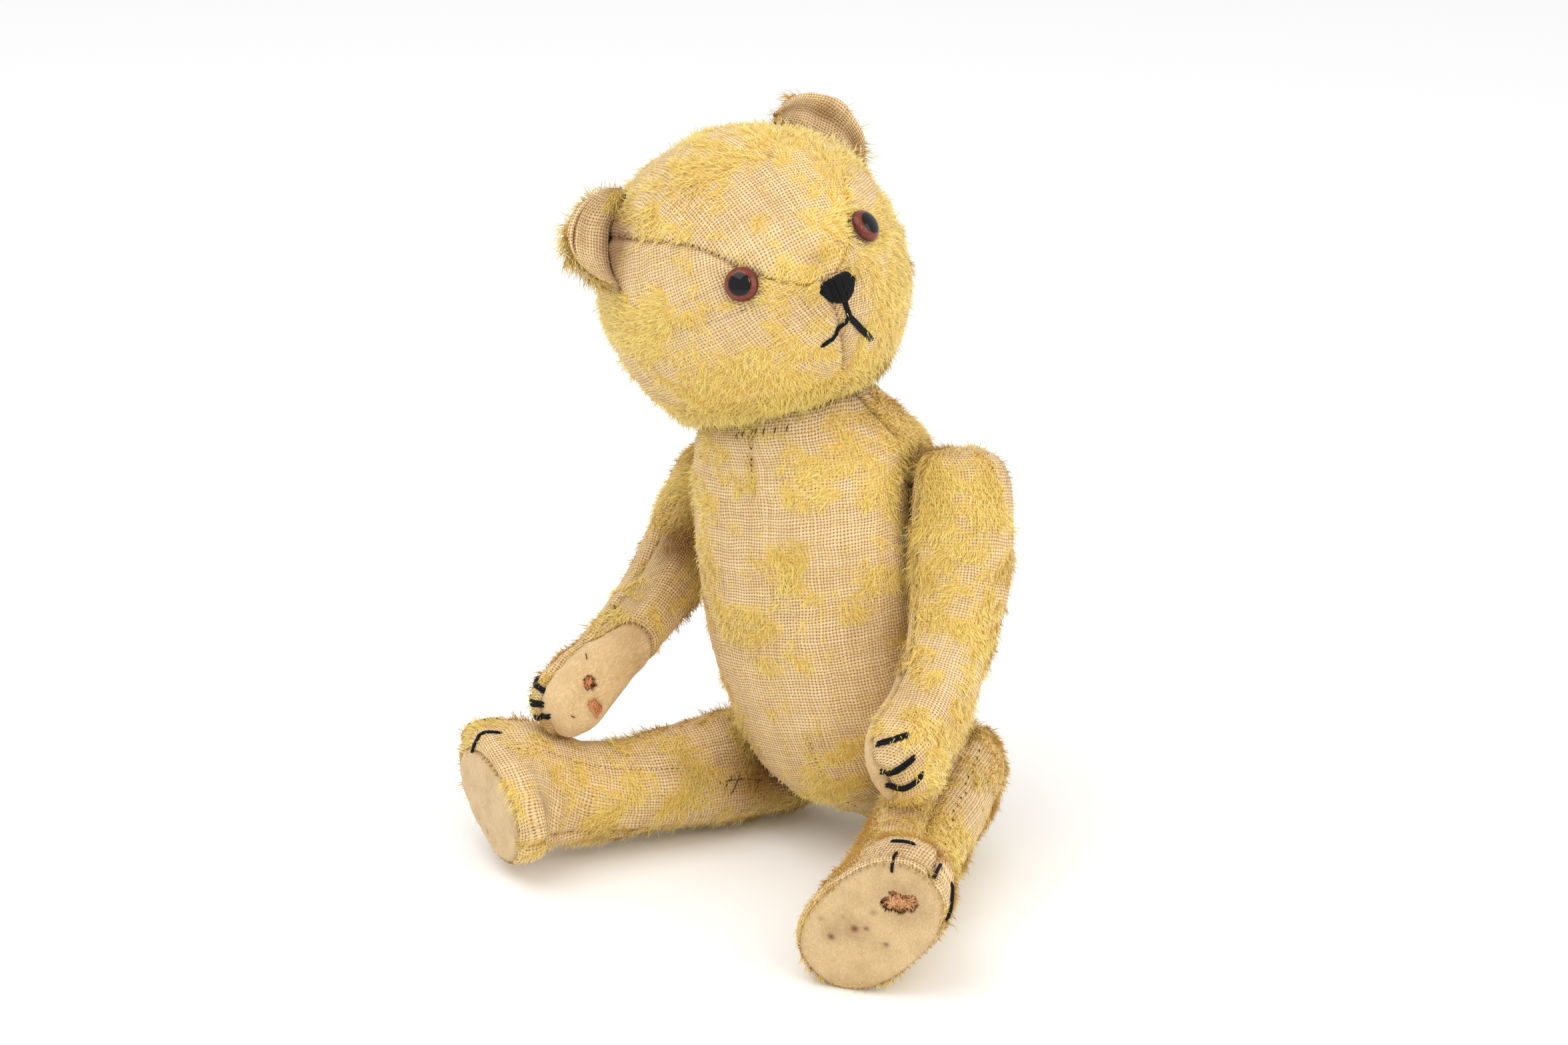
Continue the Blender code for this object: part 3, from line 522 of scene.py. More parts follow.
def spun(name, paths, radius, finish_key, body, flat=1.0, replaces=()):
    """Threads, or strips where `flat` is under 1, along lists of points; the ends narrow."""
    verts, faces, uvs = [], [], []
    for path in paths:
        path = np.asarray(path, float)
        ahead = unit(np.gradient(path, axis=0))
        side = unit(np.cross(ahead, THREAD_UP))
        other = np.cross(side, ahead)
        run = chord(path, 0)
        start, last = len(verts), len(path) - 1
        for i, point in enumerate(path):
            narrow = 0.45 if i in (0, last) else 1.0
            for k in range(THREAD_SIDES):
                a = 2 * math.pi * k / THREAD_SIDES
                verts.append(point + (side[i] * math.cos(a) + other[i] * math.sin(a) * flat) * radius * narrow)
        for i in range(last):
            for k in range(THREAD_SIDES):
                corners = ((0, k), (0, k + 1), (1, k + 1), (1, k))
                faces.append([start + (i + j) * THREAD_SIDES + m % THREAD_SIDES for j, m in corners])
                uvs += [(run[i + j], m / THREAD_SIDES) for j, m in corners]
        for i, ring in ((0, range(THREAD_SIDES - 1, -1, -1)), (last, range(THREAD_SIDES))):
            faces.append([start + i * THREAD_SIDES + k for k in ring])
            uvs += [(run[i], 0.0)] * THREAD_SIDES
    data = bpy.data.meshes.new(name)
    data.from_pydata((np.array(verts) * MM).tolist(), [], faces)
    data.uv_layers.new(name="thread").data.foreach_set("uv", np.array(uvs, np.float32).ravel())
    data.shade_smooth()
    return piece(name, data, finish_key, body, replaces)


# ---------------------------------------------------------------- pile

# shares of the strands that are short straight ends, and that stand away from the rest
SHORT_SHARE, FLYAWAY_SHARE = 0.25, 0.06
# how far a strand's root is sunk in the cloth, and the lowest that any point of it may lie over the floor
ROOT_SUNK, PILE_FLOOR = 0.25, 0.08


def sprout(name, body, panels, comb, look, per_mm2, seed, length, stray, lift=26.0):
    """Mohair strands as narrow ribbons on panels: thick where pile is left, a few strays where it has worn off.
    A long strand has five points and bends at its middle, and a short one is a single triangle."""
    rng = np.random.default_rng(seed)
    taken = []
    for panel in panels:
        p = panel.points
        a, b, c, d = p[:-1, :-1], p[:-1, 1:], p[1:, 1:], p[1:, :-1]
        area = 0.5 * np.linalg.norm(np.cross(c - a, d - b), axis=-1)
        pile = 0.25 * (panel.pile[:-1, :-1] + panel.pile[1:, 1:] + panel.pile[:-1, 1:] + panel.pile[1:, :-1])
        wanted = (area * (stray + pile)).ravel()
        count = int(wanted.sum() * per_mm2)
        cell = np.searchsorted(np.cumsum(wanted) / wanted.sum(), rng.random(count))
        r, q = np.unravel_index(np.clip(cell, 0, wanted.size - 1), area.shape)
        u, v = rng.random((2, count, 1))
        grids = (grid.reshape(*p.shape[:2], -1) for grid in (p, panel.normals, panel.pile, panel.stain_and_shade))
        taken.append([g[r, q] * (1 - u) * (1 - v) + g[r, q + 1] * u * (1 - v) + g[r + 1, q + 1] * u * v
                      + g[r + 1, q] * (1 - u) * v for g in grids])
    root, normal, pile, stain_and_shade = (np.concatenate(column) for column in zip(*taken))
    normal, pile, stain_and_shade = unit(normal), pile[:, 0], stain_and_shade[:, 0]
    count = len(root)
    way = comb(root)
    way = unit(way - normal * (way * normal).sum(-1, keepdims=True))
    swirl = np.radians(uneven(root, (150, 15, seed + 0.3), (75, 5, seed + 0.7)) + rng.normal(0, 24, count))[:, None]
    way = way * np.cos(swirl) + np.cross(normal, way) * np.sin(swirl)
    size = look.length / MM * length * (0.45 + 0.75 * rng.random(count)) * (0.65 + 0.45 * np.clip(pile, 0, 1))
    size = size * np.where(pile < 0.15, 0.7, 1.0)
    rise = np.radians(np.clip(rng.normal(lift, 11, count), 4, 75))
    fly = rng.random(count) < FLYAWAY_SHARE
    rise = np.where(fly, rise + 0.5, rise)
    size = (size * np.where(fly, 1.25, 1.0))[:, None]
    cos, sin = np.cos(rise)[:, None], np.sin(rise)[:, None]
    lean = np.cross(way, normal)
    curl = rng.normal(0, 0.16, (count, 1)) * size
    middle = root + (way * cos + normal * sin) * size * 0.5 + lean * curl
    late = np.sin(rise * 0.45)[:, None]
    tip = middle + (way * np.sqrt(1 - late ** 2) + normal * late) * size * 0.5 - lean * curl * 0.6
    half = lean * (look.width / MM / 2) * rng.uniform(0.7, 1.35, (count, 1))
    root = root - normal * ROOT_SUNK
    tone = np.clip(0.5 + uneven(root, (0.8, 8, seed + 4.4)) + rng.normal(0, 0.24, count), 0, 1)
    short = rng.random(count) < SHORT_SHARE
    n_short = int(short.sum())
    n_long = count - n_short
    r, m, t, h = (part[~short] for part in (root, middle, tip, half))
    bent = np.stack([r - h, r + h, m + h * 0.8, m - h * 0.8, t], 1)
    r, m, t, h = (part[short] for part in (root, middle, tip, half))
    straight = np.stack([r - h, r + h, (r * 0.25 + m * 0.75) + (t - m) * 0.1], 1)
    points = np.concatenate([bent.reshape(-1, 3), straight.reshape(-1, 3)])
    points[:, 2] = np.maximum(points[:, 2], PILE_FLOOR)
    loops = np.concatenate([(np.arange(n_long)[:, None] * 5 + np.array([0, 1, 2, 3, 3, 2, 4])).ravel(),
                            5 * n_long + np.arange(n_short * 3)])
    totals = np.concatenate([np.tile([4, 3], n_long), np.full(n_short, 3)])
    data = bpy.data.meshes.new(name)
    data.vertices.add(len(points))
    data.vertices.foreach_set("co", (points * MM).astype(np.float32).ravel())
    data.loops.add(len(loops))
    data.loops.foreach_set("vertex_index", loops.astype(np.int32))
    data.polygons.add(len(totals))
    data.polygons.foreach_set("loop_start", (np.cumsum(totals) - totals).astype(np.int32))
    data.polygons.foreach_set("loop_total", totals.astype(np.int32))
    data.update(calc_edges=True)

    def on_points(values):
        return np.concatenate([np.repeat(values[~short], 5, 0), np.repeat(values[short], 3, 0)])
    keep_on_points(data, "tone", on_points(tone))
    keep_on_points(data, "stain_and_shade", on_points(stain_and_shade))
    heights = [np.tile([0, 0, 0.55, 0.55, 1.0], n_long), np.tile([0, 0, 0.85], n_short)]
    keep_on_points(data, "tip", np.concatenate(heights))
    facing = unit(normal + way * 0.25 * (rng.random((count, 1)) - 0.5) + lean * 0.7 * (rng.random((count, 1)) - 0.5))
    data.polygons.foreach_set("use_smooth", np.ones(len(totals), bool))
    data.normals_split_custom_set_from_vertices(on_points(facing).astype(np.float32))
    piece(name, data, "pile", body)


# ---------------------------------------------------------------- finishes

def fed(made, inputs):
    """Fills a node's inputs with values, or links them to sockets or to other nodes' first outputs in use."""
    for key, value in inputs.items():
        if isinstance(value, bpy.types.Node):
            value = next(output for output in value.outputs if output.enabled)
        if isinstance(value, bpy.types.NodeSocket):
            made.id_data.links.new(value, made.inputs[key])
        else:
            made.inputs[key].default_value = value
    return made


def node(tree, kind, inputs=None, **settings):
    """Adds a shader node with its settings, values and links."""
    made = tree.nodes.new("ShaderNode" + kind)
    for key, value in settings.items():
        setattr(made, key, value)
    return fed(made, inputs or {})


def finish_named(name, roughness, metallic=0.0, **sockets):
    """A material with only its shader and output, and that shader's own values set."""
    made = bpy.data.materials.new(name)
    made.use_nodes = True
    tree = made.node_tree
    values = {key.replace("_", " "): value for key, value in sockets.items()}
    shader = fed(tree.nodes["Principled BSDF"], {"Roughness": roughness, "Metallic": metallic, **values})
    return made, tree, shader


def worn_mohair_backing(look, pile_look):
    """Plain-woven cotton backing of mohair plush, its pile rubbed off: rounded threads over and under each
    other with a painted highlight on their crowns and painted shade where they cross, a few thick and thin threads,
    yellow where pile is left, and dirt and painted shade in the seams and creases.
    Its threads are about 1 mm apart, coarser than real ones, so that they show."""
    made, t, shader = finish_named("worn_mohair_backing", 0.92, Sheen_Weight=0.12, Sheen_Roughness=0.6)
    weave = node(t, "UVMap", uv_map="weave")
    # threads wander by about half a millimetre over 12 mm
    drift = node(t, "TexNoise", {"Vector": weave, "Scale": 1 / 12, "Detail": 2.0})
    centred = node(t, "VectorMath", {0: drift.outputs["Color"], 1: (0.5, 0.5, 0.5)}, operation="SUBTRACT")
    scaled = node(t, "VectorMath", {0: centred, "Scale": 2.6}, operation="SCALE")
    place = node(t, "VectorMath", {0: weave, 1: scaled}, operation="ADD")
    axes = node(t, "SeparateXYZ", {0: place})
    rounds, cells, tones = [], [], []
    for k, spacing in ((0, look.warp / MM), (1, look.weft / MM)):
        count = node(t, "Math", {0: axes.outputs[k], 1: spacing}, operation="DIVIDE")
        turn = node(t, "Math", {0: count, 1: math.pi}, operation="MULTIPLY")
        wave = node(t, "Math", {0: turn}, operation="SINE")
        rounds.append(node(t, "Math", {0: wave}, operation="ABSOLUTE"))
        cells.append(node(t, "Math", {0: count}, operation="FLOOR"))
        tones.append(node(t, "TexWhiteNoise", {"W": cells[-1]}, noise_dimensions="1D"))
    both = node(t, "Math", {0: cells[0], 1: cells[1]}, operation="ADD")
    over = node(t, "Math", {0: both, 1: 2.0}, operation="FLOORED_MODULO")
    heights = []
    for top, under in ((rounds[0], rounds[1]), (rounds[1], rounds[0])):
        dip = node(t, "Math", {0: under, 1: 0.45, 2: 0.55}, operation="MULTIPLY_ADD")
        heights.append(node(t, "Math", {0: top, 1: dip}, operation="MULTIPLY"))
    height = node(t, "Mix", {0: over, 2: heights[1], 3: heights[0]}, data_type="FLOAT")
    crown = node(t, "Math", {0: rounds[0], 1: rounds[1]}, operation="MAXIMUM")
    # the weave is more open in some places than in others
    body = node(t, "TexCoord").outputs["Object"]
    open_here = node(t, "TexNoise", {"Vector": body, "Scale": 1000 / 22, "Detail": 3.0})
    gap_edge = node(t, "MapRange", {"Value": open_here, 1: 0.35, 2: 0.7, 3: 0.66, 4: 0.88})
    gap = node(t, "MapRange", {"Value": crown, 1: 0.30, 2: gap_edge, 3: 1.0, 4: 0.0})
    slub = node(t, "Math", {0: tones[0], 1: tones[1]}, operation="ADD")
    half_slub = node(t, "Math", {0: slub, 1: 0.42, 2: -0.22}, operation="MULTIPLY_ADD")
    # painted highlight and shade: the backing goes paler where a thread stands high and darker where it dips
    lit = node(t, "Math", {0: height, 1: 0.85, 2: half_slub}, operation="MULTIPLY_ADD", use_clamp=True)
    base = node(t, "Mix", {0: lit, 6: look.backing, 7: look.crown_highlight}, data_type="RGBA")
    # greyish handling dirt in soft blotches about 15 mm across
    blotch = node(t, "TexNoise", {"Vector": body, "Scale": 1000 / 15, "Detail": 5.0, "Roughness": 0.65})
    dull = node(t, "MapRange", {"Value": blotch, 1: 0.50, 2: 0.78, 3: 0.0, 4: 0.42})
    handled = node(t, "Mix", {0: dull, 6: base, 7: to_linear("#B5945F")}, data_type="RGBA")
    # painted shade where the threads cross
    gap_share = node(t, "Math", {0: gap, 1: 0.95}, operation="MULTIPLY")
    woven = node(t, "Mix", {0: gap_share, 6: handled, 7: look.gaps}, data_type="RGBA")
    # matted pile roots are a felt-like yellow nap, broken by fine fibre streaks
    pile = node(t, "Attribute", attribute_name="pile").outputs["Fac"]
    fibres = node(t, "Mapping", {"Vector": place, "Rotation": (0.0, 0.0, 0.9), "Scale": (1.9, 0.42, 1.0)})
    nap = node(t, "TexNoise", {"Vector": fibres, "Scale": 1.0, "Detail": 4.0, "Distortion": 0.8})
    napped = node(t, "MapRange", {"Value": nap, 1: 0.36, 2: 0.56, 3: 0.08, 4: 1.0})
    yellow_share = node(t, "Math", {0: pile, 1: napped}, operation="MULTIPLY", use_clamp=True)
    yellow_part = node(t, "Math", {0: yellow_share, 1: 0.88}, operation="MULTIPLY")
    yellow = node(t, "Mix", {0: nap, 6: pile_look.root, 7: to_linear("#F8DA5C")}, data_type="RGBA")
    piled = node(t, "Mix", {0: yellow_part, 6: woven, 7: yellow}, data_type="RGBA")
    # the stain mask holds dirt and painted shade; both darken the cloth by multiplying in the brown
    stain_and_shade = node(t, "Attribute", attribute_name="stain_and_shade").outputs["Fac"]
    stained_and_shaded = node(t, "Mix", {0: stain_and_shade, 6: piled, 7: look.dirt_and_shade}, data_type="RGBA", blend_type="MULTIPLY")
    fade = node(t, "Math", {0: yellow_share, 1: -0.6, 2: 1.0}, operation="MULTIPLY_ADD")
    relief = node(t, "Math", {0: height, 1: fade}, operation="MULTIPLY")
    fuzz = node(t, "Math", {0: nap, 1: 0.5, 2: relief}, operation="MULTIPLY_ADD")
    bump = node(t, "Bump", {"Height": fuzz, "Strength": 0.9, "Distance": 0.00040})
    fed(shader, {"Base Color": stained_and_shaded, "Normal": bump})
    return made


def faded_mohair(look, cloth):
    """Goat-hair pile, dyed yellow and faded at the tips: lustrous fine fibre, ochre and dusty near the roots."""
    made, t, shader = finish_named("faded_mohair", 0.7, Sheen_Weight=0.25, Sheen_Roughness=0.45)
    tone, tip, stain_and_shade = (node(t, "Attribute", attribute_name=key).outputs["Fac"] for key in ("tone", "tip", "stain_and_shade"))
    lock = node(t, "Mix", {0: tip, 6: look.root, 7: look.tip}, data_type="RGBA")
    dust = node(t, "MapRange", {"Value": tone, 1: 0.55, 2: 1.0, 3: 0.0, 4: 0.55})
    dusty = node(t, "Mix", {0: dust, 6: lock, 7: look.dusty}, data_type="RGBA")
    pale = node(t, "MapRange", {"Value": tone, 1: 0.0, 2: 0.35, 3: 0.45, 4: 0.0})
    paled = node(t, "Mix", {0: pale, 6: dusty, 7: to_linear("#FFF2A0")}, data_type="RGBA")
    # strands darken with the cloth's stain mask, which holds dirt and painted shade
    stained_and_shaded = node(t, "Mix", {0: stain_and_shade, 6: paled, 7: cloth.dirt_and_shade}, data_type="RGBA", blend_type="MULTIPLY")
    fed(shader, {"Base Color": stained_and_shaded})
    return made


def moth_eaten_felt(look):
    """Pressed wool felt, thin and rubbed: a mat of fine crossing fibres, dirt in the hollows, no weave."""
    made, t, shader = finish_named("moth_eaten_felt", 0.95, Sheen_Weight=0.2, Sheen_Roughness=0.5)
    body = node(t, "TexCoord").outputs["Object"]
    mats = []
    for turn in ((0.4, 0.3, 0.5), (1.3, 0.9, 2.1)):
        # fibres are about 0.25 mm thick here and 3 mm long, coarser than real wool so that they show
        laid = node(t, "Mapping", {"Vector": body, "Rotation": turn, "Scale": (4000, 330, 1500)})
        mats.append(node(t, "TexNoise", {"Vector": laid, "Scale": 1.0, "Detail": 2.0, "Distortion": 0.6}))
    mat = node(t, "Math", {0: mats[0], 1: mats[1]}, operation="ADD")
    fibre = node(t, "MapRange", {"Value": mat, 1: 0.75, 2: 1.25})
    blotch = node(t, "TexNoise", {"Vector": body, "Scale": 1000 / 9, "Detail": 6.0, "Roughness": 0.7})
    soiled = node(t, "MapRange", {"Value": blotch, 1: 0.45, 2: 0.75, 3: 0.0, 4: 0.55})
    wool = node(t, "Mix", {0: fibre, 6: look.felt, 7: to_linear("#ECCF9E")}, data_type="RGBA")
    dirty = node(t, "Mix", {0: soiled, 6: wool, 7: look.felt_dirt}, data_type="RGBA")
    # the felt's stain mask holds dirt, and painted shade at the soles' edges and in the moth-hole spots
    stain_and_shade = node(t, "Attribute", attribute_name="stain_and_shade").outputs["Fac"]
    stained_and_shaded = node(t, "Mix", {0: stain_and_shade, 6: dirty, 7: look.dirt_and_shade}, data_type="RGBA", blend_type="MULTIPLY")
    rough = node(t, "Math", {0: blotch, 1: 1.2, 2: fibre}, operation="MULTIPLY_ADD")
    bump = node(t, "Bump", {"Height": rough, "Strength": 0.6, "Distance": 0.0004})
    fed(shader, {"Base Color": stained_and_shaded, "Normal": bump})
    return made


def pine_wood_wool(name, pale, deep):
    """Long curled pine shavings used as stuffing: fine straight grain, warm orange tan, slightly glossy faces."""
    made, t, shader = finish_named(name, 0.6)
    body = node(t, "TexCoord").outputs["Object"]
    laid = node(t, "Mapping", {"Vector": body, "Scale": (2600, 400, 2600)})
    grain = node(t, "TexNoise", {"Vector": laid, "Scale": 1.0, "Detail": 4.0})
    blotch = node(t, "TexNoise", {"Vector": body, "Scale": 1000 / 3, "Detail": 2.0})
    mixed = node(t, "Math", {0: grain, 1: blotch}, operation="ADD")
    share = node(t, "MapRange", {"Value": mixed, 1: 0.7, 2: 1.3})
    wood = node(t, "Mix", {0: share, 6: to_linear(deep), 7: to_linear(pale)}, data_type="RGBA")
    bump = node(t, "Bump", {"Height": grain, "Strength": 0.4, "Distance": 0.0001})
    fed(shader, {"Base Color": wood, "Normal": bump})
    return made


def twisted_cotton(name, dark, light, pitch):
    """Spun cotton thread: two plies that wind round it, so fine slanting ridges cross it every `pitch` millimetres."""
    made, t, shader = finish_named(name, 0.75, Sheen_Weight=0.04, Specular_IOR_Level=0.2)
    thread = node(t, "UVMap", uv_map="thread")
    axes = node(t, "SeparateXYZ", {0: thread})
    along = node(t, "Math", {0: axes.outputs[0], 1: 1 / pitch, 2: axes.outputs[1]}, operation="MULTIPLY_ADD")
    turn = node(t, "Math", {0: along, 1: 4 * math.pi}, operation="MULTIPLY")
    ply = node(t, "Math", {0: turn}, operation="SINE")
    share = node(t, "MapRange", {"Value": ply, 1: -1.0, 2: 1.0})
    body = node(t, "TexCoord").outputs["Object"]
    fluff = node(t, "TexNoise", {"Vector": body, "Scale": 1000 / 0.5, "Detail": 2.0})
    mixed = node(t, "Math", {0: share, 1: fluff}, operation="MULTIPLY")
    # painted shade and highlight: the thread is darker in the grooves between its plies and paler on their ridges
    tint = node(t, "Mix", {0: mixed, 6: to_linear(dark), 7: to_linear(light)}, data_type="RGBA")
    bump = node(t, "Bump", {"Height": share, "Strength": 0.6, "Distance": 0.0001})
    fed(shader, {"Base Color": tint, "Normal": bump})
    return made


def painted_glass(look):
    """Blown glass eye painted on its back: a black pupil that spreads into a red-brown ring under a clear dome."""
    made, t, shader = finish_named("painted_glass", 0.04, Specular_IOR_Level=0.36)
    disc = node(t, "UVMap", uv_map="disc")
    axes = node(t, "SeparateXYZ", {0: disc})
    body = node(t, "TexCoord").outputs["Object"]
    cloudy = node(t, "TexNoise", {"Vector": body, "Scale": 1000 / 1.8, "Detail": 3.0})
    wander = node(t, "Math", {0: cloudy, 1: 0.10, 2: axes.outputs[0]}, operation="MULTIPLY_ADD")
    ring = node(t, "MapRange", {"Value": wander, 1: look.pupil + 0.03, 2: look.pupil + 0.10})
    rim = node(t, "MapRange", {"Value": wander, 1: 0.94, 2: 1.06})
    iris = node(t, "Mix", {0: cloudy, 6: look.iris, 7: to_linear("#8C4129")}, data_type="RGBA")
    edged = node(t, "Mix", {0: rim, 6: iris, 7: to_linear("#4A1610")}, data_type="RGBA")
    seen = node(t, "Mix", {0: ring, 6: to_linear("#040202"), 7: edged}, data_type="RGBA")
    fed(shader, {"Base Color": seen})
    return made


def flecked(name, roughness, metallic, across, detail, ground, fleck):
    """A plain matter whose colour wanders from a ground to flecks or blotches about `across` millimetres wide."""
    made, t, shader = finish_named(name, roughness, metallic)
    body = node(t, "TexCoord").outputs["Object"]
    noise = node(t, "TexNoise", {"Vector": body, "Scale": 1000 / across, "Detail": detail})
    mixed = node(t, "Mix", {0: noise, 6: to_linear(ground), 7: to_linear(fleck)}, data_type="RGBA")
    fed(shader, {"Base Color": mixed})
    return made


def matt_paper(floor):
    """Unglazed paper of the sweep that the bear sits on: white, with a faint tooth."""
    made, t, shader = finish_named("matt_paper_sweep", 0.9)
    body = node(t, "TexCoord").outputs["Object"]
    tooth = node(t, "TexNoise", {"Vector": body, "Scale": 900.0, "Detail": 2.0})
    fed(shader, {"Base Color": node(t, "Mix", {0: tooth, 6: floor, 7: to_linear("#FFFFFF")}, data_type="RGBA")})
    return made


FINISHES = {}


def finish(name):
    """One of the bear's finishes, made the first time that it is asked for."""
    scene = bpy.context.scene
    makers = {
        "backing": lambda: worn_mohair_backing(scene.bear_cloth, scene.bear_pile),
        "pile": lambda: faded_mohair(scene.bear_pile, scene.bear_cloth),
        "felt": lambda: moth_eaten_felt(scene.bear_cloth),
        "wood_wool": lambda: pine_wood_wool("pine_wood_wool", "#FFD6A2", "#D08C52"),
        "rust_wool": lambda: pine_wood_wool("stained_wood_wool", "#E6A06A", "#A45A30"),
        "black_floss": lambda: twisted_cotton("black_perle_cotton", "#030303", "#1A1918", 1.6),
        "sewing": lambda: twisted_cotton("waxed_sewing_cotton", "#A07C3C", "#E6C98C", 0.9),
        # dark mending thread, whose colour also draws the painted shade in the head's needle holes
        "darning_and_hole_shade": lambda: twisted_cotton("dark_cotton_for_darns_and_hole_shade", "#3A2A18", "#8A6A3C", 0.9),
        "glass": lambda: painted_glass(scene.bear_eyes),
        # pressed wood-fibre board of the joint discs: brown, flecked with short fibres
        "board": lambda: flecked("pressed_hardboard", 0.75, 0.0, 0.8, 4.0, "#4A2F1B", "#8A6238"),
        # drawn wire and stamped washers, dulled by age: grey metal with faint tarnish
        "steel": lambda: flecked("drawn_steel", 0.38, 1.0, 2.0, 5.0, "#8C8A86", "#6B5848"),
        "paper": lambda: matt_paper(scene.bear_stage.floor),
    }
    if name not in FINISHES:
        FINISHES[name] = makers[name]()
    return FINISHES[name]


# ---------------------------------------------------------------- torso

TORSO_PLANES = [FLOOR, joint_plane("neck_turn", 1)] + [joint_plane(limb[0], 1) for limb in LIMBS.values()]
# where pile is left (above zero) or gone (below), and where dirt has settled: x, y, z, radius, strength
TORSO_PILE = [
    (2, -34, 139, 8, 1), (0, -41, 134, 7, 1), (10, -30, 133, 8, 1), (-9, -52, 104, 8, 1.1), (-3, -50, 98, 8, 1),
    (0, -50, 90, 6, 0.9), (10, -43, 91, 6, 0.8), (-44, -47, 110, 7, 1), (-42, -49, 90, 7, 1), (-7, -49, 119, 5, 1.1),
    (-12, -54, 85, 8, 0.7), (-35, -52, 79, 6, 0.8), (5, -45, 29, 7, 1.3), (-2, -43, 22, 7, 1.3),
    (-46, -38, 126, 9, 0.9), (1, -4, 142, 11, 1.4), (10, 2, 137, 9, 1.2), (11, -39, 112, 12, -1), (7, -50, 67, 15, -1),
    (-25, -48, 125, 9, -1), (-9, -54, 45, 12, -1), (-26, -54, 60, 12, -0.8), (14, -42, 80, 8, -0.6),
]
TORSO_DIRT = [(-28, -46, 36, 8, 0.3), (12, -38, 86, 12, 0.14), (-9, -50, 112, 6, 0.12), (-20, -52, 76, 9, 0.10)]
# darts of the front cloth, at the neck and between the legs
DARTS = [[(-29, -44, 141), (-27, -47, 132), (-25, -49, 123)],
         [(-0.5, -53, 47), (1.5, -49, 36), (3, -43, 25), (5, -34, 14)]]


def woven(points):
    """Weave coordinates of a grid: across from its middle column, and down that column."""
    across, down = chord(points, 1), chord(points, 0)
    mid = points.shape[1] // 2
    return np.stack([across - across[:, mid:mid + 1], np.broadcast_to(down[:, mid:mid + 1], across.shape)], -1)


def left_pile(points, share, spots, stretch=(1.0, 1.0, 0.6), shift=0.0):
    """How much pile is left at each point: ragged patches over about `share` of the cloth, and named spots."""
    s = np.array(stretch)
    value = (0.36 * patchy(points, 15 * s, shift) + 0.35 * patchy(points, 6.0 * s, shift + 2.2)
             + 0.29 * patchy(points, 2.6 * s, shift + 4.1))
    edge = np.quantile(value, 1 - share)
    left = np.clip((value + 0.13 * marks(points, spots) - edge + 0.05) / 0.15, 0, 1)
    ragged = 0.80 + 1.2 * (patchy(points, (1.6, 1.6, 0.9), shift + 6.0) - 0.5)
    return np.clip(left * ragged, 0, 1)


def near_joint(points, joint, radius):
    """1 at a joint's pin, falling to 0 away from it."""
    return hump(distance(points, joint_place(joint)), radius, 4)


def path_distance(points, path):
    """Distance from each point to a broken line."""
    away = np.full(points.shape[:-1], 1e3)
    path = np.array(path, float)
    for a, b in zip(path[:-1], path[1:]):
        share = np.clip((points - a) @ (b - a) / ((b - a) @ (b - a)), 0, 1)
        away = np.minimum(away, distance(points - a, share[..., None] * (b - a)))
    return away


def gathers(points, joint, count, depth):
    """Radial puckers where cloth is drawn in round a joint."""
    z = np.array(joint_row(joint)["axis"])
    away = points - joint_place(joint)
    flat = away - (away @ z)[..., None] * z
    x = unit(np.cross(z, (0.0, 1.0, 0.2)))
    angle = np.arctan2(flat @ np.cross(z, x), flat @ x)
    radius = np.linalg.norm(flat, axis=-1)
    band = hump(radius - 26, 6.0) * hump(away @ z, 9.0)
    return depth * band * np.cos(angle * count + 4 * patchy(points, 12, 8.0))


class BearTorso(bpy.types.Operator):
    """Front and back cloth of the torso, darted at the neck and between the legs"""
    bl_idname = "bear.torso"
    bl_label = "Torso cloth"

    def execute(self, context):
        look = context.scene.bear_cloth
        for name, node_names, low in (("back_cloth", ("body_back_panel", "body_stuffing"), 0.0),
                                      ("front_cloth", ("body_front_panel",), math.pi)):
            raw = torso_surface(*grid_of(np.linspace(0, 1, 150), np.linspace(low, low + math.pi, 74)))
            normals = grid_normals(raw, TORSO_MIDDLE)
            points = pressed(raw, TORSO_PLANES)
            seam = edge_distance(points, start=False, end=False)
            if low:
                for dart in DARTS:
                    seam = np.minimum(seam, path_distance(points, dart) * 1.1 + 0.25)
            panel = Panel(name, "torso", points, normals, seam, woven(points))
            rumpled(panel, look, TORSO_PLANES, gathers(points, "neck_turn", 15, 0.5))
            p = panel.points
            tuft = hump(seam, 2.0) * np.clip(patchy(p, 5, 3.3) * 3 - 1.1, 0, 1)
            panel.pile = np.clip(left_pile(p, 0.30 if low else 0.55, TORSO_PILE) + 0.8 * tuft, 0, 1)
            # the table's spots are dirt; the rest is painted shade round the neck, shoulder and hip joints, where the
            # head and limbs meet the torso, and in the grooves of the seams and darts
            joints = (("neck_turn", 25, 0.3), ("right_shoulder_swing", 20, 0.4), ("left_shoulder_swing", 17, 0.3),
                      ("left_hip_swing", 20, 0.4), ("right_hip_swing", 21, 0.5))
            panel.stain_and_shade = np.clip(marks(p, TORSO_DIRT) + sum(k * near_joint(p, j, r) for j, r, k in joints)
                                  + 0.32 * hump(seam, 1.1), 0, 0.85)
            sewn(panel, "backing", node_names)
        return {"FINISHED"}


# ---------------------------------------------------------------- head

HEAD_PLANES = [joint_plane("neck_turn", -1)]
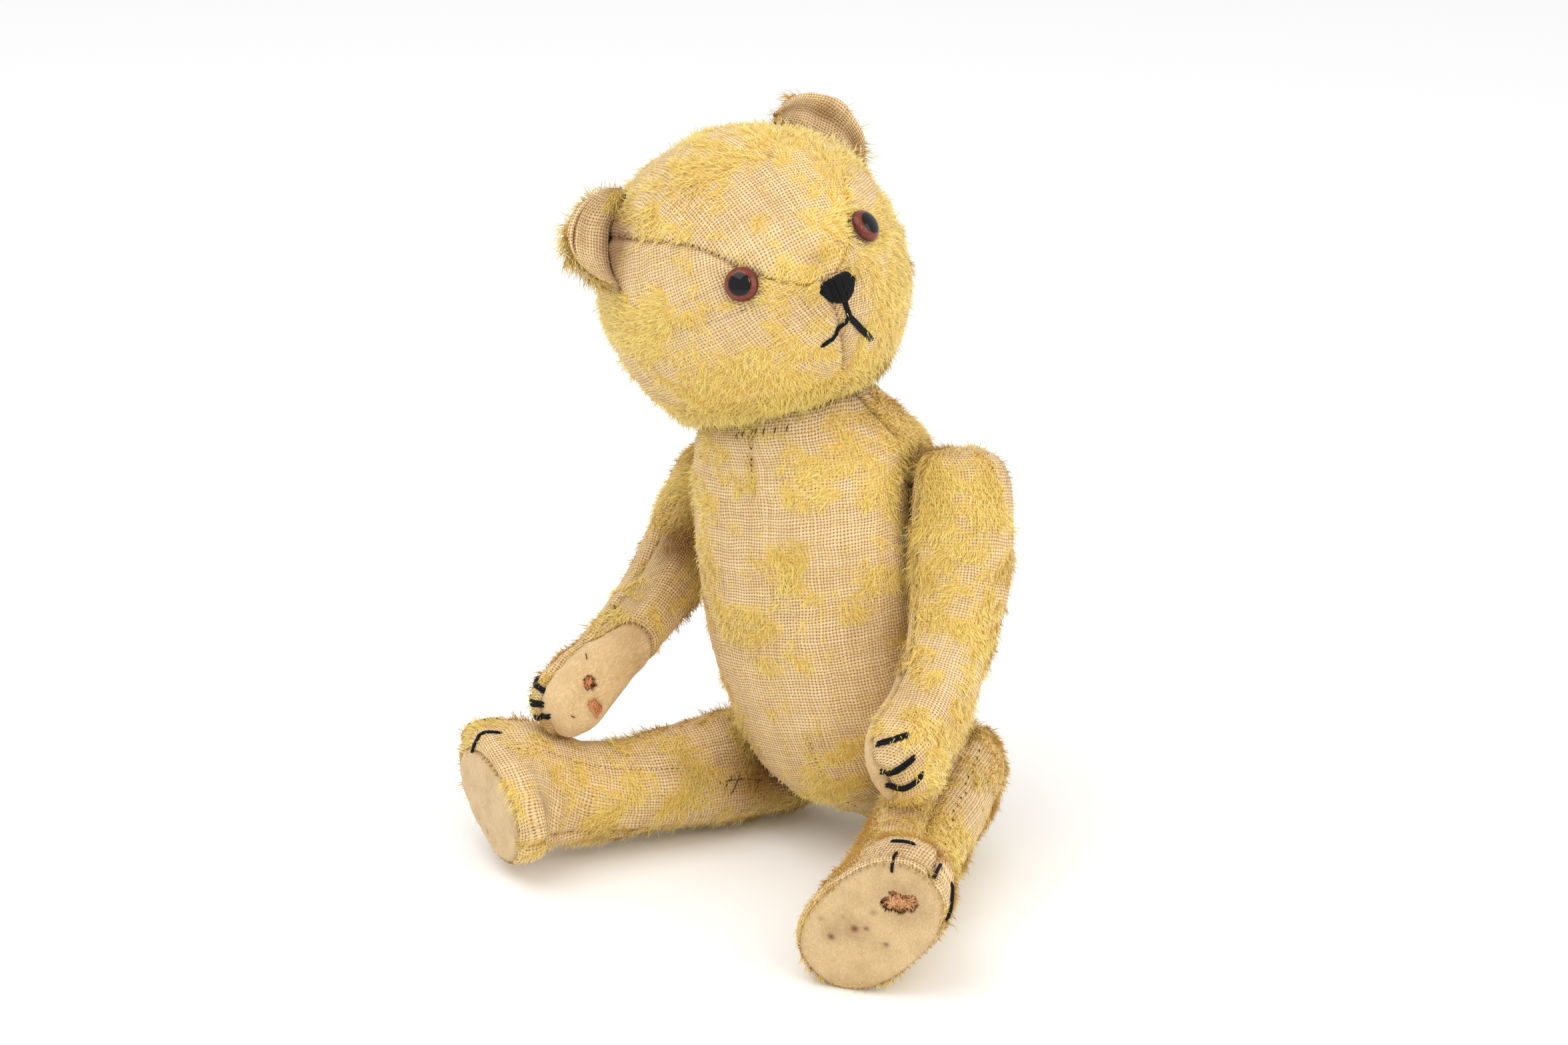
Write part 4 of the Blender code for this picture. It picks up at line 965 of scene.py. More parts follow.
# the seams of the head's top piece as the cloth was cut: degrees round from the nose, half width in degrees
GUSSET_SEAM = [(-7, 5), (-3, 12), (7, 23), (15, 27.5), (27, 34.5), (45, 44.5), (62, 49.5), (84, 51.5), (105, 48),
               (140, 36), (185, 21), (228, 11)]
HEAD_PILE = [
    (-27, -37, 222, 10, -1), (-18, -37, 216, 9, -1), (-43, -65, 191, 10, -1), (-27, -63, 181, 10, -0.9),
    (-43, -66, 176, 8, 0.9), (-24, -58, 165, 12, 1.3), (-11, -52, 168, 10, 1.3), (3, -17, 172, 15, 1.4),
    (-48, -41, 225, 10, 1.1), (-33, -17, 229, 9, 1.1), (2, -8, 192, 15, 1.3), (-6, -42, 202, 7, 0.5),
    (-60, -55, 175, 15, 1.0), (-40, -52, 160, 12, 1.2), (-20, -30, 223, 5, 0.8), (-34, -50, 214, 8, -0.5),
    (-55, -62, 190, 8, -0.7),
]
HEAD_DIRT = [(-6, -42, 202, 3.5, 0.30), (4, -33, 197, 4, 0.35), (-24, -58, 189, 4, 0.20), (-19, -57, 198, 3, 0.25),
             (-32, -29, 227.5, 1.1, 0.9), (-2, -42, 187, 6, 0.18), (1, -36, 178, 6, 0.15), (-5, -49, 190, 5, 0.12)]
HEAD_PARTS = ["head_gusset_cloth", "head_left_cloth", "head_right_cloth"]
# one degree round the head is about this many millimetres of cloth
HEAD_DEGREE = 0.87
# nose in degrees: round and side of its middle, half width, half height
NOSE = (-11.6, 3.3, 6.5, 4.5)
# the mouth's long stitches, as (round, side) in degrees
MOUTH = {"drop": [(-14.9, 3.3), (-18.5, 3.4), (-21.7, 3.6)],
         "right": [(-21.0, 3.5), (-23.4, 0.6), (-25.6, -3.0), (-27.4, -7.6)],
         "left": [(-21.0, 3.5), (-26.5, 6.4), (-31.5, 9.3), (-35.8, 12.0)]}


def on_head(points):
    return carried(HEAD, points)


def head_spot(round_deg, side_deg, out=1.0):
    """A place on the head's surface from degrees round from the nose and degrees to its left."""
    return on_head(head_radius_point(head_way(np.asarray(round_deg, float), np.asarray(side_deg, float))) * out)


def gusset_half(round_deg):
    line = flow_through(GUSSET_SEAM)[1]
    return np.interp(round_deg, line[:, 0], line[:, 1])


class BearHead(bpy.types.Operator):
    """Gusset and two sides of the head, drawn in at the eyes and gathered at the neck"""
    bl_idname = "bear.head"
    bl_label = "Head cloth"

    def execute(self, context):
        first, last = GUSSET_SEAM[0][0], GUSSET_SEAM[-1][0]
        rounds = np.linspace(first, last, 190)
        r, f = grid_of(rounds, np.linspace(-1, 1, 76))
        s = f * gusset_half(r)
        weave = np.stack([s, (r - 50) * np.cos(np.radians(s)) ** 0.7], -1) * HEAD_DEGREE
        self.panel(context, "head_gusset_cloth", "head_gusset", r, s, weave, edge_distance, ("head_stuffing",))
        # a side's edge: half the gusset's front end, along its seam, half its back end, and under the chin
        loop = np.concatenate([
            np.stack([np.full(8, first), np.linspace(0, gusset_half(first), 8)], -1)[:-1],
            np.stack([rounds, gusset_half(rounds)], -1),
            np.stack([np.full(8, last), np.linspace(gusset_half(last), 0, 8)], -1)[1:],
            np.stack([np.linspace(last, first + 360, 110), np.zeros(110)], -1)[1:]])
        for word, way in (("left", 1), ("right", -1)):
            f = np.linspace(0, 1, 56) ** 1.1
            r = np.repeat(loop[:, :1], 56, 1)
            s = way * (loop[:, 1:] + f[None] * (90 - loop[:, 1:]))
            # the cloth's grain runs straight over the cheek, flattened round its middle
            from_cheek, turn = (90 - np.abs(s)) * HEAD_DEGREE, np.radians(r)
            weave = np.stack([from_cheek * np.cos(turn), from_cheek * np.sin(turn)], -1)
            self.panel(context, f"head_{word}_cloth", f"head_{word}_side", r, s, weave, lambda p: chord(p, 1), (),
                       (False, False, True, False))
        return {"FINISHED"}

    def panel(self, context, name, node_name, r, s, weave, seam_of, more, tucks=(True,) * 4):
        way = head_way(r, s)
        points = pressed(on_head(head_radius_point(way)), HEAD_PLANES)
        normals = head_normal(way) @ np.array(HEAD)[:3, :3].T
        # the seam under the chin is closed and hardly shows
        seam = seam_of(points) + 2.4 * hump(r + 45, 28, 4) * hump(s, 9)
        extra = gathers(points, "neck_turn", 17, 0.6)
        for side in (EYE_SIDE, -EYE_SIDE):
            # an eye's socket, with a raised ring round it
            gap = distance(points, head_spot(EYE_ROUND, side))
            extra = extra - 1.3 * hump(gap, 5.5) + 0.35 * hump(gap - 9.5, 2.5)
        panel = Panel(name, "head", points, normals, seam, weave)
        rumpled(panel, context.scene.bear_cloth, HEAD_PLANES, extra)
        p = panel.points
        origin, outwards = HEAD_PLANES[0]
        above = -((p - origin) @ outwards)
        panel.pile = np.maximum(left_pile(p, 0.52, HEAD_PILE, (1.0, 1.0, 0.8), 1.7), np.clip(1.3 - above / 7, 0, 1))
        # the table's spots are dirt; the rest is painted shade round the ears' feet, just above the neck where the head
        # meets the torso, and in the seams' grooves
        ears = sum(k * hump(distance(p, head_spot(EAR_AT[w][1], d * EAR_AT[w][0])), size, 4)
                   for w, d, k, size in (("left", 1, 0.45, 11), ("right", -1, 0.75, 13)))
        panel.stain_and_shade = np.clip(marks(p, HEAD_DIRT) + ears + 0.30 * np.clip(1 - above / 4, 0, 1)
                              + 0.12 * hump(seam, 0.8), 0, 0.85)
        # no pile under the nose's stitches, the eyes or the mouth's end
        for at, aside, size in ((NOSE[0], NOSE[1], 6.4), (EYE_ROUND, EYE_SIDE, 5.4), (EYE_ROUND, -EYE_SIDE, 5.4),
                                (*MOUTH["left"][-1], 3.2)):
            panel.pile = np.where(distance(p, head_spot(at, aside)) < size, -0.2, panel.pile)
        panel.tucks = tucks
        sewn(panel, "backing", (node_name,) + more)


def ear_surface(word, across, up, layer):
    """A padded ear across the gusset seam, curled over forwards: front or back layer, meeting in a seam on its rim."""
    way = 1 if word == "left" else -1
    side, round_deg, leftwards, cup = EAR_AT[word]
    centre = head_way(round_deg, way * side)
    out = head_normal(centre[None])[0]
    facing = np.array((leftwards, -1.0, 0.0))
    facing = unit(facing - out * (facing @ out))
    over = np.cross(out, facing)
    # the foot's line is laid out on a ball of 50 mm, then carried to the head's surface
    base = centre * 50 + over * (across * EAR_HALF_WIDTH)[..., None] + facing * (cup * (across ** 2 - 0.5))[..., None]
    foot = head_radius_point(base) + head_normal(base) * 0.3
    edge = np.sqrt(np.maximum(0, 1 - across ** 2 * 0.97))
    turn = up * math.pi / 2
    rise = EAR_HEIGHT * (1.06 * np.sin(turn) ** 0.85 - 0.07 * hump(1 - up, 0.07)) * edge ** 0.8
    half = EAR_THICK[word] * np.cos(turn) ** 0.55 * (0.30 + 0.70 * edge)
    half = half * (0.66 + 0.34 * hump(up - 0.66, 0.30))
    curl = EAR_CURL[word] * up ** 2.0 * edge
    if layer == "front":
        fold = 3.3 * hump(up - 0.34, 0.15) * (0.62 + 0.38 * np.cos(across * 6.0 + way))
        offset = half * 1.15 - (fold if way > 0 else 0.3 * fold) * edge
    else:
        offset = -0.8 * half
    ripple = 0.5 * np.sin(across * 5 + 1.0 + way) * up
    points = foot + out * rise[..., None] + facing * (offset + curl + ripple)[..., None]
    return on_head(points)


class BearEars(bpy.types.Operator):
    """Both ears, two padded layers of cloth that meet on a thick rim, with painted shade at the foot"""
    bl_idname = "bear.ears"
    bl_label = "Ears"

    def execute(self, context):
        up, across = grid_of(np.linspace(0, 1, 44), np.linspace(-1, 1, 70))
        for word in ("left", "right"):
            for layer in ("front", "back"):
                points = ear_surface(word, across, up, layer)
                other = ear_surface(word, across, up, "back" if layer == "front" else "front")
                normals = grid_normals(points, (points + other).mean((0, 1)) / 2)
                if ((points - other) * normals).sum() < 0:
                    normals = -normals
                panel = Panel(f"{word}_ear_{layer}_cloth", "head", points, normals,
                              edge_distance(points, start=False), woven(points))
                dents = uneven(points, (0.9, 7, 2.0), (0.5, 2.8, 6.0))
                panel.points = points + normals * (dents - 0.7 * hump(panel.seam, 0.9))[..., None]
                p = panel.points
                panel.pile = left_pile(p, 0.85 if layer == "back" else 0.06, [], (1, 1, 1), 5.0)
                if layer == "back" and word == "left":
                    panel.pile = panel.pile * np.clip((0.80 - up) / 0.12, 0, 1)
                if layer == "front" and word == "right":
                    panel.pile = np.maximum(panel.pile, np.clip((up - 0.86) / 0.08, 0, 1))
                    gap_across = (across - EAR_SLIT[0]) * EAR_HALF_WIDTH
                    gap_up = (up - EAR_SLIT[1]) * EAR_HEIGHT * 1.4
                    slit = np.exp(-(gap_across / EAR_SLIT[2]) ** 4 - ((gap_up + 0.08 * gap_across) / EAR_SLIT[3]) ** 2)
                    panel.points = panel.points - normals * (1.5 * slit)[..., None]
                    # painted shade in the slit's groove
                    panel.stain_and_shade = panel.stain_and_shade + 0.8 * slit
                # painted shade at the ear's foot, in the left ear's hollow under its fold and along the rim seam; the
                # patchy term is random mottling
                low = 0.55 * hump(up, 0.10) if layer == "front" else 0.3 * hump(up, 0.2)
                hollow = 0.42 * hump(up - 0.34, 0.11) if layer == "front" and word == "left" else 0.0
                panel.stain_and_shade = np.clip(panel.stain_and_shade + low + hollow + 0.10 * patchy(p, 6, 1.0)
                                      + 0.12 * hump(panel.seam, 0.7), 0, 0.92)
                panel.tuck = 0.8
                sewn(panel, "backing", (f"{word}_ear_{layer}",))
        return {"FINISHED"}


class BearEyePair(bpy.types.Operator):
    """Two glass eyes, flat behind, each a dome over a painted pupil and ring"""
    bl_idname = "bear.eyes"
    bl_label = "Glass eyes"

    def execute(self, context):
        turns, levels = np.linspace(0, 2 * math.pi, 49), np.radians(np.linspace(-60, 90, 34))
        for word, way in (("left", 1), ("right", -1)):
            spot = head_way(EYE_ROUND, way * EYE_SIDE)
            centre, z = head_radius_point(spot), head_normal(spot[None])[0]
            x = unit(np.array((1.0, 0, 0)) - z * z[0])
            y = np.cross(z, x)
            level, turn = grid_of(levels, turns)
            ring = np.cos(level) * EYE_RADIUS
            high = 1.1 + np.sin(level) * np.where(level > 0, 3.3, 0.9)
            points = (centre + x * (ring * np.cos(turn))[..., None] + y * (ring * np.sin(turn))[..., None]
                      + z * high[..., None])
            share = np.where(level < 0, 2 - np.cos(level), np.cos(level))
            disc = np.stack([share, turn / (2 * math.pi)], -1)
            points = on_head(points)
            normals = unit(points - on_head(centre - z * 1.0))
            data = sheet_mesh(f"{word}_glass_eye", points, normals, disc, {})
            data.uv_layers["weave"].name = "disc"
            piece(f"{word}_glass_eye", data, "glass", "head", (f"{word}_eye",))
        return {"FINISHED"}


def nose_reach(x):
    """How far the nose's outline is above and below its middle, at a share x of its half width."""
    top = NOSE[3] * 0.86 * np.maximum(0, 1 - np.abs(x) ** 3.2) ** 0.45
    bottom = NOSE[3] * 0.92 * np.maximum(0, 1 - np.abs(x) ** 3.0) ** 0.6
    return top, bottom


class BearFace(bpy.types.Operator):
    """Satin-stitched nose and the long stitches of the mouth"""
    bl_idname = "bear.face"
    bl_label = "Nose and mouth"

    def execute(self, context):
        rng = np.random.default_rng(3)
        tree = surface_tree(HEAD_PARTS)
        paths = []
        for layer in range(3):
            for x in np.linspace(-0.97, 0.97, 34) + rng.normal(0, 0.01, 34):
                top, bottom = nose_reach(np.clip(x, -0.97, 0.97))
                t = np.linspace(0, 1, 12)
                rise = NOSE[0] + (top + rng.normal(0, 0.15)) * (1 - t) - (bottom + rng.normal(0, 0.15)) * t
                side = NOSE[1] + NOSE[2] * x * (1 - 0.26 * t) + (0.7 - 0.5 * layer) * (t - 0.5)
                bulge = (0.15 + 0.42 * layer) * (1 + 0.9 * (1 - x * x)) * np.sin(np.pi * (0.05 + 0.90 * t)) ** 0.35
                paths.append(laid_on(tree, head_spot(rise, side), bulge))
        spun("nose_satin_stitches", paths, 0.50, "black_floss", "head", replaces=("nose_stitching",))
        strokes = []
        for shift in (-0.7, 0.0, 0.7):
            for places in MOUTH.values():
                line = flow_through([(r + shift * 0.4, s + shift * 0.7) for r, s in places], 18)[1]
                rise = 0.55 * np.sin(np.linspace(0.15, math.pi - 0.15, 18)) ** 0.4 + rng.normal(0, 0.04, 18)
                strokes.append(laid_on(tree, head_spot(line[:, 0], line[:, 1], 1.02), rise))
        spun("mouth_stitches", strokes, 0.56, "black_floss", "head")
        return {"FINISHED"}


# ---------------------------------------------------------------- limbs

def share_of(name, length):
    """The share of the way along a limb's rings at a length from its joint."""
    at, line = flow_through(LIMBS[name][8])
    return np.interp(length, line[:, 0], at)


def limb_spot(name, length, angle):
    """A place on a limb from the length along it and its angle round in half turns."""
    return limb_surface(name)(share_of(name, np.asarray(length, float)), np.asarray(angle, float) * math.pi)


LIMB_PILE = {
    "left_arm": [(50, -45, 70, 10, 0.6), (47, -73, 57, 9, -2.2), (45, -74, 64, 5, -1.5)],
    "right_arm": [(-66, -35, 92, 12, -0.5), (-70, -50, 78, 6, 0.9), (-80, -68, 70, 9, 0.8), (-79, -91, 53, 7, -1.0)],
    "left_leg": [(70, -101, 45, 12, -2.0), (60, -60, 30, 12, 0.6), (44, -70, 12, 10, 0.7)],
    "right_leg": [(-72, -108, 30, 15, -1.1), (-57, -80, 31, 9, -0.8), (-48, -70, 12, 10, 0.8), (-60, -86, 20, 8, 0.7),
                  (-76, -104, 42, 5, 1.0)],
}
LIMB_DIRT = {
    "left_arm": [(32, -50, 75, 6, 0.15)],
    "right_arm": [(-64.9, -80.2, 50.3, 2.6, 0.7), (-65.5, -35, 93, 8, 0.85), (-61, -22, 101, 11, 0.6),
                  (-70, -52, 84, 14, 0.2), (-66, -62, 66, 9, 0.15)],
    "left_leg": [(68, -101, 46, 9, 0.26), (74, -109, 33, 7, 0.35), (60, -114, 22, 4, 0.3), (53, -115, 19, 3, 0.3)],
    "right_leg": [(-31, -45, 22, 12, 0.5), (-25, -36, 20, 12, 0.5), (-64, -117, 22, 3, 0.55), (-45, -60, 25, 10, 0.25)],
}
# dark spots painted as the shade inside small moth holes in the soles, which are not cut: x, y, z, radius, how dark
MOTH_HOLE_SHADE = {
    "left_leg": [(60.5, -113.8, 22.5, 1.0, 0.9), (64, -112.7, 23.1, 0.8, 0.8), (53.1, -115.5, 18.3, 1.0, 0.8),
                 (69.4, -110.2, 18.4, 0.9, 0.8), (57, -114.5, 26, 0.7, 0.6), (66, -112, 29, 1.1, 0.6),
                 (50, -116.5, 24, 0.7, 0.6), (62, -113, 14, 0.7, 0.6), (72, -109.5, 40, 0.9, 0.6)],
    "right_leg": [(-92, -107, 20, 0.8, 0.5), (-86, -111, 12, 1.2, 0.45)],
}
PILE_SHARE = {"left_arm": 0.60, "right_arm": 0.60, "left_leg": 0.62, "right_leg": 0.48}
# how far each arm's front and back seams are turned from its middle, towards the body where below zero
SEAM_TURN = {"left_arm": (-0.42, 0.15), "right_arm": (-0.05, 0.0)}
# length along a leg at the middle of its foot
FOOT_MIDDLE = 85.0
# holes worn through the felt: x, y, z of the middle, radius, how ragged
PAW_HOLES = [(-66.8, -80.7, 59.0, 2.5, 0.5), (-69.8, -83.0, 57.5, 1.9, 0.5), (-65.0, -78.0, 62.0, 1.7, 0.4)]
SOLE_HOLES = [(73.6, -109.6, 33.0, 3.9, 0.3), (76.6, -107.6, 33.6, 3.3, 0.3), (70.8, -111.0, 32.4, 2.8, 0.3)]
# how far a hole's edge is turned in
LIP_DEPTH = 1.1


def limb_panel(context, name, piece_name, share, angle, felt=False, wrap=None):
    """One panel of a limb from shares along it and angles round it, with the rows of `wrap` sewn on at its end."""
    surface = limb_surface(name)

    def core(shares):
        side = np.zeros_like(shares)
        return (surface(shares, side) + surface(shares, side + math.pi)) / 2
    points, middle = surface(share, angle), core(share[:, :1])
    if wrap is not None:
        points = np.concatenate([points, wrap])
        middle = np.concatenate([middle, np.repeat(core(np.full((1, 1), share_of(name, FOOT_MIDDLE))), len(wrap), 0)])
    normals = grid_normals(points, middle)
    joint, along = LIMBS[name][:2]
    planes = [joint_plane(joint, -1), FLOOR]
    points = pressed(points, planes)
    panel = Panel(piece_name, name, points, normals, edge_distance(points), woven(points))
    rumpled(panel, context.scene.bear_cloth, planes)
    p = panel.points
    if not felt:
        left = left_pile(p, PILE_SHARE[name], LIMB_PILE[name], 1 - 0.4 * np.abs(np.array(along)), 3.0 + len(name))
        panel.pile = np.clip(left + 0.9 * hump(distance(p, joint_place(joint)) - 19, 3.5), 0, 1)
    # the table's spots are dirt and rust; the rest is painted shade near the joint, where the limb meets the torso, and
    # in the seams' grooves
    panel.stain_and_shade = np.clip(marks(p, LIMB_DIRT[name]) + 0.30 * near_joint(p, joint, 15)
                          + 0.22 * hump(panel.seam, 1.0), 0, 0.85)
    return panel


def holed(holes):
    """Opens ragged holes in a felt sheet and turns their edges in."""
    def cut(data):
        bm = bmesh.new()
        bm.from_mesh(data)
        gone = []
        for face in bm.faces:
            c = np.array(face.calc_center_median()) / MM
            for *place, radius, ragged in holes:
                if distance(c, place) < radius * (1 + uneven(c, (2 * ragged, 2.0, place[0]))):
                    gone.append(face)
                    break
        if not gone:
            raise RuntimeError(f"no hole was opened in {data.name}")
        inward = -sum((f.normal for f in gone), Vector()).normalized() * LIP_DEPTH * MM
        weave, lost = bm.loops.layers.uv.active, set(gone)
        # each edge once and in the order found, since Blender's own extrusion orders its faces anew each run
        rim = list(dict.fromkeys(e for f in gone for e in f.edges if any(g not in lost for g in e.link_faces)))
        corners = sorted({v for e in rim for v in e.verts}, key=lambda v: v.index)
        lip = {v: bm.verts.new(v.co + inward, v) for v in corners}
        for edge in rim:
            b = edge.link_loops[0]
            a = b.link_loop_next
            turned = bm.faces.new((a.vert, b.vert, lip[b.vert], lip[a.vert]), b.face)
            for made, end in zip(turned.loops, (a, b, b, a)):
                made[weave].uv = end[weave].uv
        bmesh.ops.delete(bm, geom=gone, context="FACES")
        bm.to_mesh(data)
        bm.free()
        data.shade_smooth()
    return cut


class BearArms(bpy.types.Operator):
    """Cloth of both arms and the felt pads of their paws"""
    bl_idname = "bear.arms"
    bl_label = "Arms"

    def execute(self, context):
        for name in ("left_arm", "right_arm"):
            word = name[:-4]
            front, back = SEAM_TURN[name]
            share, angle = grid_of(np.linspace(0, 1, 134), np.linspace(front, math.pi + back, 48))
            panel = limb_panel(context, name, f"{name}_outer_cloth", share, angle)
            more = (f"{name}_stuffing",) if word == "left" else ()
            sewn(panel, "backing", (f"{name}_outer_panel",) + more)
            angles = np.linspace(math.pi + back, 2 * math.pi + front, 46)
            # the pad's upper edge is an arch that reaches further down at the front seam
            round_share = (angles - math.pi) / math.pi
            arch = 58 + 10 * np.abs((round_share - 0.50) / 0.5) ** 2.0 + 8 * np.clip((round_share - 0.75) / 0.25, 0, 1)
            edge = share_of(name, arch)
            rows = np.linspace(0, 1, 92)[:, None]
            across = np.repeat(angles[None], 92, 0)
            panel = limb_panel(context, name, f"{name}_inner_cloth", rows * edge, across)
            sewn(panel, "backing", (f"{name}_inner_panel",))
            rows = np.linspace(0, 1, 72)[:, None]
            panel = limb_panel(context, name, f"{word}_paw_felt", edge + rows * (1 - edge), across[:72], True)
            sewn(panel, "felt", (f"{word}_paw_pad",), cut=holed(PAW_HOLES) if word == "right" else None)
        return {"FINISHED"}


def felt_edge(name, angle):
    """How far out the felt sole reaches: on the right foot, cloth wraps over the toe and the inner side."""
    wrap = 0.34 * np.maximum(0, np.cos(angle + 0.9)) ** 1.4 if name == "right_leg" else 0 * angle
    return 0.98 - wrap


def sole_surface(name, f, angle, cloth=False):
    """The oval that closes a foot, and its outward direction. The felt's shares `f` run out to its own edge; the
    cloth's run out to the foot's, and it lies under the felt."""
    surface = limb_surface(name)
    rim = surface(np.ones_like(angle), angle)
    turn = np.linspace(0, 2 * math.pi, 65)[:-1]
    ring, inner = surface(np.ones(64), turn), surface(np.full(64, share_of(name, 92.0)), turn)
    middle = ring.mean(0)
    axis = unit(np.cross(ring[16] - ring[0], ring[32] - ring[0]))
    axis = axis * np.sign((middle - inner.mean(0)) @ axis)
    out = f if cloth else f * felt_edge(name, angle)
    dome = 0.9 + 1.5 * (1 - out ** 2.4)
    dome = dome - (0.7 if cloth else 1.0 * np.clip((f - 0.93) / 0.07, 0, 1) ** 2)
    return middle + (rim - middle) * out[..., None] + axis * dome[..., None], axis


class BearLegs(bpy.types.Operator):
    """Cloth of both legs and the felt soles of their feet"""
    bl_idname = "bear.legs"
    bl_label = "Legs"

    def execute(self, context):
        for name in ("left_leg", "right_leg"):
            word = name[:-4]
            more = (f"{name}_stuffing",) if word == "right" else ()
            for side, low in (("outer", 0.0), ("inner", math.pi)):
                share, angle = grid_of(np.linspace(0, 1, 140), np.linspace(low, low + math.pi, 56))
                inwards, _ = grid_of(np.linspace(0.02, 1, 14), angle[0])
                reach = 1 - inwards * (1 - felt_edge(name, angle[:14]) + 0.04)
                wrap = sole_surface(name, reach, angle[:14], True)[0]
                panel = limb_panel(context, name, f"{name}_{side}_cloth", share, angle, wrap=wrap)
                sewn(panel, "backing", (f"{name}_{side}_panel",) + (more if low == 0 else ()))
            f, angle = grid_of(np.linspace(1, 0, 48) ** 0.8, np.linspace(0, 2 * math.pi, 161))
            points, axis = sole_surface(name, f, angle)
            normals = np.broadcast_to(axis, points.shape).copy()
            rough = uneven(points, (0.8, 8, 4.0), (0.5, 3, 1.0), (0.3, 1.3, 2.0))
            points = points + normals * (rough * np.clip((1 - f) / 0.1, 0, 1))[..., None]
            points[..., 2] = np.maximum(points[..., 2], 0.1)
            spread = points - points[-1:, :1]
            weave = np.stack([spread[..., 0] + spread[..., 1], spread[..., 2]], -1)
            panel = Panel(f"{word}_sole_felt", name, points, normals, np.full(f.shape, 20.0), weave)
            # painted shade at the sole's edge, where it meets the leg cloth, and in the moth-hole spots; the other
            # spots are dirt
            panel.stain_and_shade = np.clip(marks(points, LIMB_DIRT[name] + MOTH_HOLE_SHADE[name]) + 0.25 * hump(1 - f, 0.05), 0, 0.9)
            panel.tucks = (True, False, False, False)
            sewn(panel, "felt", (f"{word}_foot_sole",), holed(SOLE_HOLES) if word == "left" else None)
        return {"FINISHED"}


# ---------------------------------------------------------------- wood wool, sewing and mending

def shavings(body, felt_name, holes, tint, seed):
    """Curled shavings packed behind holes in felt, over a bed of broader ones."""
    rng = np.random.default_rng(seed)
    felt = PANELS[felt_name]
    paths = []
    for *place, radius, _ in holes:
        nearest = distance(felt.points, place).argmin()
        centre, inwards = felt.points.reshape(-1, 3)[nearest], -felt.normals.reshape(-1, 3)[nearest]
        a = unit(np.cross(inwards, (0.2, 0.1, 1.0)))
        b = np.cross(inwards, a)
        t = np.linspace(-1, 1, 12)
        for step in np.arange(-1.3, 1.31, 0.75 / radius) * radius:
            for p, q in ((a, b), (a * 0.4 + b * 0.9, a * 0.9 - b * 0.4)):
                wave = 0.25 * np.sin(t * 4 + rng.uniform(0, 6))
                paths.append(centre + p * (t * radius * 1.4)[:, None] + q * (step + wave)[:, None]
                             + inwards * (rng.uniform(2.5, 3.0) + wave)[:, None])
        for _ in range(16):
            turn, reach = rng.uniform(0, 2 * math.pi), radius * rng.uniform(0.6, 0.9)
            bend, off = rng.normal(0, 0.3), rng.normal(0, 0.25, 2) * radius
            depth = rng.uniform(1.3, 2.0) + 0.3 * np.sin(t * 3 + rng.uniform(0, 6))
            u = t * reach * math.cos(turn) - bend * radius * t * t * math.sin(turn) + off[0]
            v = t * reach * math.sin(turn) + bend * radius * t * t * math.cos(turn) + off[1]
            paths.append(centre + a * u[:, None] + b * v[:, None] + inwards * depth[:, None])
    made = spun(f"{body}_wood_wool", paths, 0.42, tint, body, 0.35, (f"{body}_stuffing",))


class BearWoodWool(bpy.types.Operator):
    """Wood wool that shows through the worn felt"""
    bl_idname = "bear.wood_wool"
    bl_label = "Wood wool"

    def execute(self, context):
        shavings("left_leg", "left_sole_felt", SOLE_HOLES, "wood_wool", 5)
        shavings("right_arm", "right_paw_felt", PAW_HOLES, "rust_wool", 6)
        # a rusty net of old mending threads near the tip of the right paw
        rng = np.random.default_rng(9)
        tree = surface_tree(["right_paw_felt"])
        middle, along, across = np.array([(-64.9, -80.2, 50.3), (0.3, 0.45, -0.84), (-0.75, -0.5, -0.4)])
        threads = []
        for step in np.linspace(-1, 1, 9):
            for p, q, wide, high in ((along, across, 3.4, 2.3), (across, along, 2.4, 3.2)):
                wander = rng.normal(0, 0.35, 4) + high * step
                places = [middle + p * wide * (k + rng.normal(0, 0.12)) + q * w
                          for k, w in zip((-1, -0.3, 0.4, 1), wander)]
                threads.append(long_stitch(tree, places, 0.25, 8))
        spun("right_paw_rusty_net", threads, 0.20, "rust_wool", "right_arm")
        return {"FINISHED"}


def stitched(path, normals, spacing, half, slant, lift, rng, share):
    """Short straight stitches across a seam, each `half` long to either side, where a `share` of them is left."""
    run = chord(path, 0)

    def at_run(grid, at):
        return np.array([np.interp(at, run, column) for column in grid.T])
    result = []
    for at in np.arange(spacing / 2, run[-1], spacing):
        if rng.random() > share:
            continue
        p, n = at_run(path, at), at_run(normals, at)
        ahead = unit(at_run(path, at + 0.5) - at_run(path, at - 0.5))
        across = unit(np.cross(n, ahead) + ahead * (slant + rng.normal(0, 0.15)))
        reach = half * rng.uniform(0.7, 1.2)
        t = np.linspace(-1, 1, 5)[:, None]
        result.append(p + across * t * reach + unit(n) * (lift * (1 - t * t) - 0.15))
    return result


def long_stitch(tree, points, lift, count=12):
    """One long stitch that lies on the cloth through a few places."""
    line = flow_through(points, count)[1]
    rise = lift * np.sin(np.linspace(0.1, math.pi - 0.1, count)) ** 0.4
    return laid_on(tree, line, rise)


def claw_stitches(name, tree, claws, apart, lift, radius, body):
    """Claws, each of two long floss stitches side by side."""
    paths = [long_stitch(tree, np.array(claw) + (0, 0, shift), lift) for claw in claws for shift in (apart, -apart)]
    spun(name, paths, radius, "black_floss", body)


